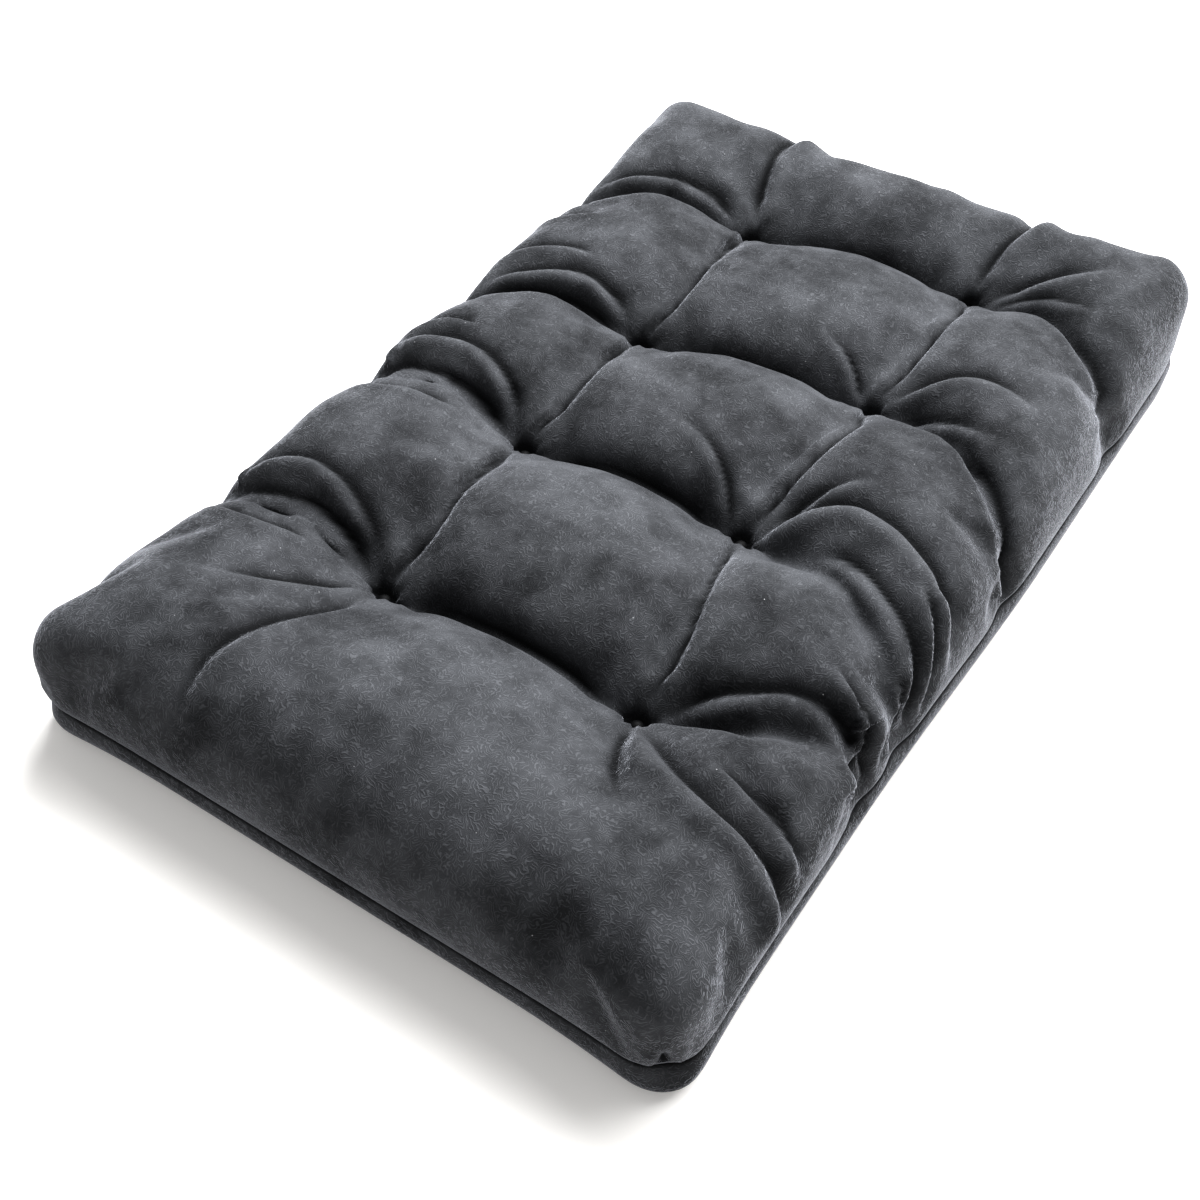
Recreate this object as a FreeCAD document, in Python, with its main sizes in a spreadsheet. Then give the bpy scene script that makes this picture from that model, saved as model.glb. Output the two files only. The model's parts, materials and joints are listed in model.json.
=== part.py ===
"""Tufted futon mattress, lying flat on its underside.

A darted top panel and a darted bottom panel are sewn together low on the side and hold a firm felt core
between four loose fibre batts. Eight twine loops run through the filling from a shanked button on top to
one underneath and draw deep pits into both faces.

Row frame: X across, Y along towards the head end, Z up, origin at the middle of the underside.
Millimetres throughout. Every driving size is a cell of the sheet "Sizes".
"""
import FreeCAD, Part
import math
import os
import Sketcher

Vector = FreeCAD.Vector
Rotation = FreeCAD.Rotation
doc = FreeCAD.newDocument("futon_mattress")

# ---------------------------------------------------------------------------------------------- sizes
SIZES = [
    ("length", 1200.0, "outside, along Y"),
    ("width", 750.0, "outside, along X"),
    ("height", 165.0, "floor to the crest of the puffs"),
    ("corner_radius", 66.0, "upright corner, seen from above"),
    ("crown_round", 58.0, "roll of the top edge"),
    ("base_round", 24.0, "roll of the bottom edge"),
    ("fabric", 1.6, "thickness of the pile fabric"),
    ("seam_height", 34.0, "perimeter seam above the floor"),
    ("seam_allowance", 15.0, "turned-in width of each seam edge"),
    ("stitch_inset", 9.0, "line of stitching, in from the inner wall"),
    ("thread_radius", 0.4, "sewing thread"),
    ("closing_length", 420.0, "filling slot in the head end, sewn up by hand"),
    ("top_dart_length", 38.0, "corner dart of the top panel"),
    ("base_dart_angle", 60.0, "sweep of the bottom panel's corner dart round the bottom roll, degrees"),
    ("fill_clearance", 1.0, "filling to casing"),
    ("tuft_pitch_long", 252.0, "row to row"),
    ("tuft_pitch_wide", 290.0, "left to right"),
    ("tuft_shift", 54.0, "middle of the tuft grid, towards the head end"),
    ("top_seat_height", 80.0, "floor of the top pits above the ground"),
    ("top_pit_radius", 105.0, "rim of a top pit"),
    ("top_pit_round", 46.0, "roll of a top pit's rim"),
    ("base_seat_height", 24.0, "roof of the bottom pits above the ground"),
    ("base_pit_radius", 62.0, "rim of a bottom pit"),
    ("base_pit_round", 20.0, "roll of a bottom pit's rim"),
    ("seat_radius", 9.0, "flat that a button sits on"),
    ("rim_lift", 0.4, "keeps a pit's rim from only grazing the face it is cut into"),
    ("core_bottom", 38.0, "underside of the core pad above the floor"),
    ("core_thickness", 28.0, "firm felt core pad"),
    ("upper_split", 114.0, "between the two upper batts, away from the tufts"),
    ("upper_split_at_tuft", 72.0, "between the two upper batts, at a tuft"),
    ("lower_split", 18.0, "between the two lower batts, away from the tufts"),
    ("lower_split_at_tuft", 32.0, "between the two lower batts, at a tuft"),
    ("button_radius", 7.0, "button dome"),
    ("button_dome", 4.5, "height of the dome"),
    ("shank_radius", 2.5, "button shank"),
    ("shank_length", 6.0, "shank below the dome's flat side"),
    ("eye_radius", 1.5, "twine eye through the shank"),
    ("hole_clearance", 0.2, "shank in its hole in the panel, all round"),
    ("twine_radius", 0.7, "waxed tufting twine"),
    ("strand_offset", 4.0, "each strand of a loop from the tuft's axis"),
    ("eye_rise", 0.6, "middle of the twine's bend beyond the middle of the eye"),
    ("knot_radius", 1.6, "knot that closes the loop"),
    ("channel_clearance", 0.3, "knot in the channel through the filling"),
]

# Hand tying leaves each tuft a little off the grid: row, side, drift along X, drift along Y.
ROWS = ["foot", "lower", "upper", "head"]
SIDES = {"left": -1, "right": 1}
DRIFTS = {
    ("foot", "left"): (5, 0),
    ("foot", "right"): (15, 5),
    ("lower", "left"): (-5, 5),
    ("lower", "right"): (-25, 15),
    ("upper", "left"): (0, -20),
    ("upper", "right"): (-5, 20),
    ("head", "left"): (0, -10),
    ("head", "right"): (0, 20),
}
OVER = 10.0  # how far a cutter runs past what it cuts
DIAGONAL = round(math.sqrt(0.5), 9)  # of a corner's radius, along X and along Y

sheet = doc.addObject("Spreadsheet::Sheet", "Sizes")


def add_cell(row, alias, value, note=""):
    """Writes one named size into the sheet."""
    sheet.set("A%d" % row, alias)
    sheet.set("B%d" % row, repr(float(value)))
    sheet.set("C%d" % row, note)
    sheet.setAlias("B%d" % row, alias)


for number, (alias, value, note) in enumerate(SIZES, 1):
    add_cell(number, alias, value, note)
next_row = len(SIZES) + 1
for (row_name, side_name), (drift_x, drift_y) in DRIFTS.items():
    tuft_name = "%s_%s" % (row_name, side_name)
    add_cell(next_row, "drift_x_" + tuft_name, drift_x, "hand-tied drift")
    add_cell(next_row + 1, "drift_y_" + tuft_name, drift_y, "hand-tied drift")
    next_row += 2
doc.recompute()


def size(alias):
    """The sheet's value of one size."""
    return float(getattr(sheet, alias))


def bind(obj, prop, formula):
    """Binds a property to the sheet; a bare alias in braces stands for its cell."""
    obj.setExpression(prop, formula.replace("{", "Sizes.").replace("}", ""))


def worth(formula):
    """The present value of a formula in braces, for a sketch's first geometry."""
    names = {alias: size(alias) for alias, _, _ in SIZES}
    text = formula
    for alias, value in names.items():
        text = text.replace("{%s}" % alias, repr(value))
    total = 0.0
    for sign, term in signed_terms(text):
        product = 1.0
        for factor in term.split("*"):
            product *= float(factor)
        total += sign * product
    return total


def minus(formula):
    """The formula with every sign turned round, to follow another term."""
    turned = [("-" if sign > 0 else "+", term) for sign, term in signed_terms(formula)]
    return " " + " ".join("%s %s" % pair for pair in turned)


def signed_terms(text):
    """Splits a sum of products into (sign, product) pairs."""
    terms = []
    sign = 1
    for token in text.split():
        if token == "+":
            sign = 1
        elif token == "-":
            sign = -1
        else:
            terms.append((sign, token))
    return terms


# ----------------------------------------------------------------------------------- building helpers
def plane_of(body, role):
    """One of a body's own origin planes."""
    return next(feature for feature in body.Origin.OriginFeatures if feature.Role == role)


def new_sketch(body, name, role):
    """A sketch on a body's own origin plane."""
    sketch = body.newObject("Sketcher::SketchObject", name)
    sketch.AttachmentSupport = (plane_of(body, role), [""])
    sketch.MapMode = "FlatFace"
    return sketch


def bound(sketch, constraint, formula):
    """Adds a size constraint and binds it to the sheet."""
    index = sketch.addConstraint(Sketcher.Constraint(*constraint, worth(formula)))
    bind(sketch, "Constraints[%d]" % index, formula)


def rounded_rectangle(sketch, inset):
    """Draws the mattress outline, drawn in by inset, centred on the sketch's origin."""
    half_wide = "0.5*{width}" + minus(inset)
    half_long = "0.5*{length}" + minus(inset)
    radius = "{corner_radius}" + minus(inset)
    x, y, r = worth(half_wide), worth(half_long), worth(radius)
    sides = [((r - x, -y), (x - r, -y)), ((x, r - y), (x, y - r)),
             ((x - r, y), (r - x, y)), ((-x, y - r), (-x, r - y))]
    for (x1, y1), (x2, y2) in sides:
        sketch.addGeometry(Part.LineSegment(Vector(x1, y1, 0), Vector(x2, y2, 0)))
    centres = [(x - r, r - y), (x - r, y - r), (r - x, y - r), (r - x, r - y)]
    for turn, (cx, cy) in enumerate(centres):
        circle = Part.Circle(Vector(cx, cy, 0), Vector(0, 0, 1), r)
        start = (turn - 1) * math.pi / 2
        sketch.addGeometry(Part.ArcOfCircle(circle, start, start + math.pi / 2))
    for turn in range(4):
        arc = 4 + turn
        sketch.addConstraint(Sketcher.Constraint("Tangent", turn, 2, arc, 1))
        sketch.addConstraint(Sketcher.Constraint("Tangent", arc, 2, (turn + 1) % 4, 1))
    for line in (0, 2):
        sketch.addConstraint(Sketcher.Constraint("Horizontal", line))
    for line in (1, 3):
        sketch.addConstraint(Sketcher.Constraint("Vertical", line))
    for arc in (5, 6, 7):
        sketch.addConstraint(Sketcher.Constraint("Equal", 4, arc))
    bound(sketch, ("Radius", 4), radius)
    bound(sketch, ("DistanceX", -1, 1, 1, 1), half_wide)
    bound(sketch, ("DistanceX", 3, 1, -1, 1), half_wide)
    bound(sketch, ("DistanceY", -1, 1, 2, 1), half_long)
    bound(sketch, ("DistanceY", 0, 1, -1, 1), half_long)


def edges_at(shape, height):
    """The names of the edges that lie at one height."""
    found = []
    for number, edge in enumerate(shape.Edges, 1):
        box = edge.BoundBox
        if abs(box.ZMin - height) < 1e-4 and abs(box.ZMax - height) < 1e-4:
            found.append("Edge%d" % number)
    return found


def outline_pad(name, inset, bottom, top):
    """A block with the mattress outline drawn in by inset, between two heights."""
    body = doc.addObject("PartDesign::Body", name)
    sketch = new_sketch(body, name + "_outline", "XY_Plane")
    rounded_rectangle(sketch, inset)
    pad = body.newObject("PartDesign::Pad", name + "_pad")
    pad.Profile = sketch
    bind(pad, "Length", top + minus(bottom))
    bind(body, "Placement.Base.z", bottom)
    return body, pad


def pillow_form(name, inset):
    """The mattress without its pits, drawn in by inset on every side, with rolled edges."""
    body, pad = outline_pad(name, inset, inset, "{height}" + minus(inset))
    doc.recompute()
    rounds = (("crown", worth("{height}" + minus(inset) + minus(inset))), ("base", 0.0))
    last = pad
    for edge_name, height in rounds:
        fillet = body.newObject("PartDesign::Fillet", "%s_%s_roll" % (name, edge_name))
        fillet.Base = (last, edges_at(last.Shape, height))
        bind(fillet, "Radius", "{%s_round}" % edge_name + minus(inset))
        doc.recompute()
        last = fillet
    body.Tip = last
    return body


def pit_profile(name, floor, face, seat, rim, roll, up):
    """The half section of a pit: flat seat, sloping wall, rolled rim. up is 1 for a pit in an upper face.

    The wall runs from the edge of the seat, tangent into the rim's roll.
    """
    sketch = doc.addObject("Sketcher::SketchObject", name)
    sketch.Placement = FreeCAD.Placement(Vector(0, 0, 0), Rotation(Vector(1, 0, 0), 90))
    z_floor, z_face, r_seat, r_rim, r_roll = (worth(part) for part in (floor, face, seat, rim, roll))
    z_centre = z_face - up * r_roll
    reach = Vector(r_rim - r_seat, (z_centre - z_floor) * up, 0)
    span = reach.Length
    lean = math.atan2(reach.y, reach.x) + math.asin(r_roll / span)
    touch = Vector(r_rim - r_roll * math.sin(lean), z_centre + up * r_roll * math.cos(lean), 0)
    z_end = z_face + up * OVER
    corners = [Vector(0, z_floor, 0), Vector(r_seat, z_floor, 0), touch,
               Vector(r_rim, z_face, 0), Vector(r_rim, z_end, 0), Vector(0, z_end, 0)]
    circle = Part.Circle(Vector(r_rim, z_centre, 0), Vector(0, 0, 1), r_roll)
    angle = math.atan2(touch.y - z_centre, touch.x - r_rim)
    top_angle = up * math.pi / 2
    sweep = (top_angle, angle) if up > 0 else (angle, top_angle)
    touch_end, face_end = (2, 1) if up > 0 else (1, 2)
    sketch.addGeometry(Part.LineSegment(corners[0], corners[1]))
    sketch.addGeometry(Part.LineSegment(corners[1], corners[2]))
    sketch.addGeometry(Part.ArcOfCircle(circle, *sweep))
    sketch.addGeometry(Part.LineSegment(corners[3], corners[4]))
    sketch.addGeometry(Part.LineSegment(corners[4], corners[5]))
    sketch.addGeometry(Part.LineSegment(corners[5], corners[0]))
    sketch.addConstraint(Sketcher.Constraint("Coincident", 0, 2, 1, 1))
    sketch.addConstraint(Sketcher.Constraint("Tangent", 1, 2, 2, touch_end))
    sketch.addConstraint(Sketcher.Constraint("Coincident", 2, face_end, 3, 1))
    sketch.addConstraint(Sketcher.Constraint("Coincident", 3, 2, 4, 1))
    sketch.addConstraint(Sketcher.Constraint("Coincident", 4, 2, 5, 1))
    sketch.addConstraint(Sketcher.Constraint("Coincident", 5, 2, 0, 1))
    sketch.addConstraint(Sketcher.Constraint("Horizontal", 0))
    sketch.addConstraint(Sketcher.Constraint("Vertical", 3))
    sketch.addConstraint(Sketcher.Constraint("Horizontal", 4))
    sketch.addConstraint(Sketcher.Constraint("PointOnObject", 0, 1, -2))
    sketch.addConstraint(Sketcher.Constraint("Vertical", 5))
    sketch.addConstraint(Sketcher.Constraint("Vertical", 2, 3, 3, 1))
    bound(sketch, ("Radius", 2), roll)
    bound(sketch, ("DistanceX", -1, 1, 0, 2), seat)
    bound(sketch, ("DistanceX", -1, 1, 3, 1), rim)
    bound(sketch, ("DistanceY", -1, 1, 0, 2), floor)
    bound(sketch, ("DistanceY", -1, 1, 3, 1), face)
    bound(sketch, ("DistanceY", -1, 1, 3, 2), "%s %s %r" % (face, "+" if up > 0 else "-", OVER))
    return sketch


def at_tuft(obj, row, side, height="0"):
    """Ties an object's place to one tuft of the grid."""
    tuft = "%s_%s" % (row, side)
    steps = ROWS.index(row) - (len(ROWS) - 1) / 2
    bind(obj, "Placement.Base.x", "%r*{tuft_pitch_wide} + {drift_x_%s}" % (SIDES[side] / 2, tuft))
    bind(obj, "Placement.Base.y", "{tuft_shift} + %r*{tuft_pitch_long} + {drift_y_%s}" % (steps, tuft))
    bind(obj, "Placement.Base.z", height)


def every_tuft():
    """Each tuft's row and side, from the foot end."""
    return [(row, side) for row in ROWS for side in SIDES]


def pits(name, floor, face, seat, rim, roll, up):
    """The eight cutters of one kind of pit."""
    profile = pit_profile(name + "_profile", floor, face, seat, rim, roll, up)
    cutters = []
    for row, side in every_tuft():
        cutter = doc.addObject("Part::Revolution", "%s_%s_%s" % (name, row, side))
        cutter.Source = profile
        cutter.Axis = Vector(0, 0, 1)
        cutter.Base = Vector(0, 0, 0)
        cutter.Angle = 360.0
        cutter.Solid = True
        at_tuft(cutter, row, side)
        cutters.append(cutter)
    return cutters


def block(name, bottom, top):
    """A block wider than the mattress, between two heights."""
    box = doc.addObject("Part::Box", name)
    bind(box, "Length", "{width} + %r" % (2 * OVER))
    bind(box, "Width", "{length} + %r" % (2 * OVER))
    bind(box, "Height", top + minus(bottom))
    bind(box, "Placement.Base.x", "-0.5*{width} - %r" % OVER)
    bind(box, "Placement.Base.y", "-0.5*{length} - %r" % OVER)
    bind(box, "Placement.Base.z", bottom)
    return box


def grouped(name, members):
    """Several separate solids as one."""
    group = doc.addObject("Part::Compound", name)
    group.Links = members
    return group


def joined(name, members):
    """Solids that meet, fused into one."""
    fused = doc.addObject("Part::MultiFuse", name)
    fused.Shapes = members
    fused.Refine = True
    return fused


def less(name, base, tool):
    """base with tool cut away."""
    cut = doc.addObject("Part::Cut", name)
    cut.Base = base
    cut.Tool = tool
    return cut


def shared(name, base, tool):
    """What base and tool share."""
    common = doc.addObject("Part::Common", name)
    common.Base = base
    common.Tool = tool
    return common


def channels(name, radius, bottom, top):
    """Eight upright round holes, one on each tuft's axis."""
    drills = []
    for row, side in every_tuft():
        drill = doc.addObject("Part::Cylinder", "%s_%s_%s" % (name, row, side))
        bind(drill, "Radius", radius)
        bind(drill, "Height", top + minus(bottom))
        at_tuft(drill, row, side, bottom)
        drills.append(drill)
    return grouped(name, drills)


# ------------------------------------------------------------------------------------------- formulas
ABOVE = "{height} + %r" % OVER
BELOW = "0 - %r" % OVER
WALL = "{fabric}"
GAP = "{fabric} + {fill_clearance}"


def hollow_form(name, inset, rim_change):
    """A pillow form with both sets of pits, inset from the outside of the casing."""
    form = pillow_form(name + "_form", inset)
    top_pits = pits(
        name + "_top_pit",
        "{top_seat_height}" + minus(inset),
        "{height}" + minus(inset) + " + {rim_lift}",
        "{seat_radius} + " + inset,
        "{top_pit_radius}" + rim_change,
        "{top_pit_round}" + minus(inset),
        1,
    )
    base_pits = pits(
        name + "_base_pit",
        "{base_seat_height} + " + inset,
        inset + " - {rim_lift}",
        "{seat_radius} + " + inset,
        "{base_pit_radius}" + rim_change,
        "{base_pit_round}" + minus(inset),
        -1,
    )
    return less(name, form, grouped(name + "_pits", top_pits + base_pits))


# --------------------------------------------------------------------------------------------- casing
def casing():
    """The two sewn panels, each with its turned-in seam edge and its eight shank holes."""
    outside = hollow_form("casing_outside", "0", "")
    inside = hollow_form("casing_inside", WALL, "")
    shell = less("casing_shell", outside, inside)
    holes = channels("shank_holes", "{shank_radius} + {hole_clearance}", BELOW, ABOVE)
    drilled = less("casing_drilled", shell, holes)
    allowance, _ = outline_pad("allowance_inner", "{fabric} + {seam_allowance}", BELOW, ABOVE)
    panels = []
    spans = {
        "casing_top_panel": ("{seam_height}", ABOVE, "{seam_height}", "{seam_height} + {fabric}"),
        "casing_bottom_panel": (BELOW, "{seam_height}", "{seam_height} - {fabric}", "{seam_height}"),
    }
    for name, (low, high, edge_low, edge_high) in spans.items():
        wall = shared(name + "_wall", drilled, block(name + "_span", low, high))
        slice_of = shared(name + "_edge_slice", inside, block(name + "_edge_span", edge_low, edge_high))
        turned_in = less(name + "_turned_edge", slice_of, allowance)
        panels.append(joined(name, [wall, turned_in]))
    return panels


# ------------------------------------------------------------------------------------------- stitching
def ring_of_thread(name, inset, height):
    """A thread that follows the mattress outline, drawn in by inset, at one height."""
    path = doc.addObject("Sketcher::SketchObject", name + "_path")
    rounded_rectangle(path, inset)
    bind(path, "Placement.Base.z", height)
    section = doc.addObject("Part::Circle", name + "_section")
    bind(section, "Radius", "{thread_radius}")
    section.Placement = FreeCAD.Placement(Vector(0, 0, 0), Rotation(Vector(0, 1, 0), 90))
    bind(section, "Placement.Base.y", "-0.5*{length} + " + inset)
    bind(section, "Placement.Base.x", "-0.5*{width} + {corner_radius}")
    bind(section, "Placement.Base.z", height)
    doc.recompute()
    sweep = doc.addObject("Part::Sweep", name + "_sweep")
    sweep.Sections = [section]
    sweep.Spine = (path, ["Edge%d" % number for number in range(1, 9)])
    sweep.Solid = True
    sweep.Frenet = False
    return sweep


def seam_threads():
    """The machine lockstitch round the seam, and the hand stitch that closes the filling slot."""
    slot = doc.addObject("Part::Box", "filling_slot")
    bind(slot, "Length", "{closing_length}")
    bind(slot, "Width", "0.5*{length} + %r" % OVER)
    bind(slot, "Height", "{height}")
    bind(slot, "Placement.Base.x", "-0.5*{closing_length}")
    inset = "{fabric} + {stitch_inset}"
    reach = "{fabric} + {thread_radius}"
    needle = ring_of_thread("needle_ring", inset, "{seam_height} + " + reach)
    bobbin = ring_of_thread("bobbin_ring", inset, "{seam_height} - {fabric} - {thread_radius}")
    return [
        less("perimeter_needle_thread", needle, slot),
        less("perimeter_bobbin_thread", bobbin, slot),
        shared("closing_hand_thread", needle, slot),
    ]


def on_corner(obj, across, along, height, drop):
    """Ties an object's place to a corner's diagonal, drop inside the outer wall of the mattress."""
    spot = "%d*( 0.5*%s - {corner_radius} + %r*( {corner_radius} - ( %s ) ) )"
    bind(obj, "Placement.Base.x", spot % (across, "{width}", DIAGONAL, drop))
    bind(obj, "Placement.Base.y", spot % (along, "{length}", DIAGONAL, drop))
    bind(obj, "Placement.Base.z", height)


def dart_threads():
    """The thread inside each corner dart, four in the top panel and four in the bottom panel."""
    threads = []
    inside_wall = "{fabric} + {thread_radius}"
    down = Vector(0, 0, -1)
    for end, along in (("foot", -1), ("head", 1)):
        for side, across in SIDES.items():
            corner = "%s_%s" % (end, side)
            upper = doc.addObject("Part::Cylinder", "top_dart_thread_" + corner)
            bind(upper, "Radius", "{thread_radius}")
            bind(upper, "Height", "{top_dart_length}")
            on_corner(upper, across, along, "{seam_height} + {fabric}", inside_wall)
            threads.append(upper)
            upright = doc.addObject("Part::Cylinder", "base_dart_upright_" + corner)
            bind(upright, "Radius", "{thread_radius}")
            bind(upright, "Height", "{seam_height} - {fabric} - {base_round}")
            on_corner(upright, across, along, "{base_round}", inside_wall)
            bend = doc.addObject("Part::Torus", "base_dart_bend_" + corner)
            bind(bend, "Radius1", "{base_round} - {fabric} - {thread_radius}")
            bind(bend, "Radius2", "{thread_radius}")
            bind(bend, "Angle3", "{base_dart_angle}")
            outward = Vector(across, along, 0).normalize()
            bend.Placement = FreeCAD.Placement(Vector(), Rotation(outward, down, outward.cross(down), "XYZ"))
            on_corner(bend, across, along, "{base_round}", "{base_round}")
            threads.append(joined("base_dart_thread_" + corner, [upright, bend]))
    return threads


# -------------------------------------------------------------------------------------------- filling
def filling():
    """The core pad and the four batts round it, each drawn thin at the tufts."""
    space = hollow_form("filling_space", GAP, "")
    channel = "{strand_offset} + {knot_radius} + {channel_clearance}"
    bored = less("filling_bored", space, channels("twine_channels", channel, BELOW, ABOVE))
    groove_reach = "{fabric} + 2*{thread_radius} + {fill_clearance}"
    groove_low = "{seam_height} - {fabric} - 2*{thread_radius} - {fill_clearance}"
    groove_band = block("groove_band", groove_low, "{seam_height} + " + groove_reach)
    inset = "{fabric} + {seam_allowance} + {fill_clearance}"
    groove_inner, _ = outline_pad("groove_inner", inset, BELOW, ABOVE)
    body = less("filling_body", bored, less("seam_groove", groove_band, groove_inner))
    core_top = "{core_bottom} + {core_thickness}"
    upper_pits = pits(
        "upper_split_pit", "{upper_split_at_tuft}", "{upper_split} + {rim_lift}",
        "{seat_radius} + {fabric}", "{top_pit_radius}", "0.5*{top_pit_round}", 1,
    )
    lower_pits = pits(
        "lower_split_pit", "{lower_split_at_tuft}", "{lower_split} - {rim_lift}",
        "{seat_radius} + {fabric}", "{base_pit_radius}", "0.5*{base_pit_round}", -1,
    )
    over_split = joined("over_upper_split", [block("over_split", "{upper_split}", ABOVE)] + upper_pits)
    under_split = joined("under_lower_split", [block("under_split", BELOW, "{lower_split}")] + lower_pits)
    over_core = shared("filling_over_core", body, block("over_core", core_top, ABOVE))
    under_core = shared("filling_under_core", body, block("under_core", BELOW, "{core_bottom}"))
    return [
        shared("upper_outer_batt", over_core, over_split),
        less("upper_inner_batt", over_core, over_split),
        shared("core_pad", body, block("core_band", "{core_bottom}", core_top)),
        less("lower_inner_batt", under_core, under_split),
        shared("lower_outer_batt", under_core, under_split),
    ]


# -------------------------------------------------------------------------------------------- tufting
def button(name, row, side, up):
    """A shanked tufting button: a low dome on the fabric and a shank with an eye through it."""
    body = doc.addObject("PartDesign::Body", name)
    section = new_sketch(body, name + "_section", "XZ_Plane")
    dome, radius = worth("{button_dome}"), worth("{button_radius}")
    shank, length = worth("{shank_radius}"), worth("{shank_length}")
    ball = (dome * dome + radius * radius) / (2 * dome)
    circle = Part.Circle(Vector(0, dome - ball, 0), Vector(0, 0, 1), ball)
    start = math.asin((ball - dome) / ball)
    corners = [Vector(0, -length, 0), Vector(shank, -length, 0), Vector(shank, 0, 0), Vector(radius, 0, 0)]
    for first, second in zip(corners, corners[1:]):
        section.addGeometry(Part.LineSegment(first, second))
    section.addGeometry(Part.ArcOfCircle(circle, start, math.pi / 2))
    section.addGeometry(Part.LineSegment(Vector(0, dome, 0), corners[0]))
    for first, second, kind in ((0, 1, "Vertical"), (1, 2, "Horizontal"), (2, 3, "")):
        second_start = 1
        section.addConstraint(Sketcher.Constraint("Coincident", first, 2, second, second_start))
        if kind:
            section.addConstraint(Sketcher.Constraint(kind, second))
    section.addConstraint(Sketcher.Constraint("Coincident", 3, 2, 4, 1))
    section.addConstraint(Sketcher.Constraint("Coincident", 4, 2, 0, 1))
    section.addConstraint(Sketcher.Constraint("Horizontal", 0))
    section.addConstraint(Sketcher.Constraint("PointOnObject", 4, 1, -2))
    section.addConstraint(Sketcher.Constraint("PointOnObject", 3, 3, -2))
    section.addConstraint(Sketcher.Constraint("PointOnObject", 0, 1, -2))
    section.addConstraint(Sketcher.Constraint("PointOnObject", 2, 2, -1))
    bound(section, ("DistanceX", -1, 1, 0, 2), "{shank_radius}")
    bound(section, ("DistanceX", -1, 1, 2, 2), "{button_radius}")
    bound(section, ("DistanceY", 0, 1, -1, 1), "{shank_length}")
    bound(section, ("DistanceY", -1, 1, 4, 1), "{button_dome}")
    turned = body.newObject("PartDesign::Revolution", name + "_turned")
    turned.Profile = section
    turned.ReferenceAxis = (section, ["V_Axis"])
    turned.Angle = 360.0
    eye_sketch = new_sketch(body, name + "_eye_circle", "XZ_Plane")
    eye_drop = -length + 2 * worth("{eye_radius}")
    eye_circle = Part.Circle(Vector(0, eye_drop, 0), Vector(0, 0, 1), worth("{eye_radius}"))
    eye_sketch.addGeometry(eye_circle)
    eye_sketch.addConstraint(Sketcher.Constraint("PointOnObject", 0, 3, -2))
    bound(eye_sketch, ("Radius", 0), "{eye_radius}")
    bound(eye_sketch, ("DistanceY", 0, 3, -1, 1), "{shank_length} - 2*{eye_radius}")
    eye = body.newObject("PartDesign::Pocket", name + "_eye")
    eye.Profile = eye_sketch
    eye.Type = "ThroughAll"
    eye.Midplane = True
    body.Tip = eye
    if up > 0:
        at_tuft(body, row, side, "{top_seat_height}")
    else:
        body.Placement = FreeCAD.Placement(Vector(0, 0, 0), Rotation(Vector(0, 1, 0), 180))
        at_tuft(body, row, side, "{base_seat_height}")
    return body


def twine_loop(name, row, side):
    """A closed loop of twine through the two shank eyes, with the knot that closes it."""
    high = "{top_seat_height} - {shank_length} + 2*{eye_radius} + {eye_rise} - {strand_offset}"
    low = "{base_seat_height} + {shank_length} - 2*{eye_radius} - {eye_rise} + {strand_offset}"
    pieces = []
    for word, way in (("near", -1), ("far", 1)):
        strand = doc.addObject("Part::Cylinder", "%s_%s_strand" % (name, word))
        bind(strand, "Radius", "{twine_radius}")
        bind(strand, "Height", high + minus(low))
        at_tuft(strand, row, side, low)
        shift_along_y(strand, way)
        pieces.append(strand)
    for word, height, spin in (("top", high, 0), ("base", low, 180)):
        bend = doc.addObject("Part::Torus", "%s_%s_bend" % (name, word))
        bind(bend, "Radius1", "{strand_offset}")
        bind(bend, "Radius2", "{twine_radius}")
        bend.Angle3 = 180.0
        upright = Rotation(Vector(0, 1, 0), Vector(0, 0, 1), Vector(1, 0, 0), "XYZ")
        bend.Placement = FreeCAD.Placement(Vector(0, 0, 0), Rotation(Vector(1, 0, 0), spin).multiply(upright))
        at_tuft(bend, row, side, height)
        pieces.append(bend)
    knot = doc.addObject("Part::Sphere", name + "_knot")
    bind(knot, "Radius", "{knot_radius}")
    at_tuft(knot, row, side, "%s + 2*{knot_radius}" % low)
    shift_along_y(knot, 1)
    pieces.append(knot)
    return joined(name, pieces)


def shift_along_y(obj, way):
    """Moves a piece of a twine loop from the tuft's axis to one of its strands."""
    formula = dict(obj.ExpressionEngine)[".Placement.Base.y"]
    sign = "+" if way > 0 else "-"
    obj.setExpression("Placement.Base.y", "%s %s Sizes.strand_offset" % (formula, sign))


def tufting():
    """Buttons and twine of the eight tufts."""
    pieces = []
    for row, side in every_tuft():
        tuft = "%s_%s" % (row, side)
        pieces.append(button("top_button_" + tuft, row, side, 1))
        pieces.append(button("bottom_button_" + tuft, row, side, -1))
        pieces.append(twine_loop("tuft_twine_" + tuft, row, side))
    return pieces


# --------------------------------------------------------------------------------------------- output
def check_document():
    """Stops if any object failed to build."""
    doc.recompute()
    for obj in doc.Objects:
        if "Invalid" in obj.State or "Error" in obj.State:
            raise RuntimeError("%s failed: %s" % (obj.Name, obj.State))


def export(pieces):
    """Writes one STEP file for each sub-part, named after it."""
    os.makedirs("parts", exist_ok=True)
    for old in os.listdir("parts"):
        os.remove(os.path.join("parts", old))
    for piece in pieces:
        piece.Label = piece.Name
        shape = piece.Shape
        if shape.isNull() or not shape.isValid() or not shape.Solids:
            raise RuntimeError("%s has no valid solid" % piece.Label)
        shape.exportStep(os.path.join("parts", piece.Label + ".step"))
        print("%-34s solids %d  volume %.1f" % (piece.Label, len(shape.Solids), shape.Volume))


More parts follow.
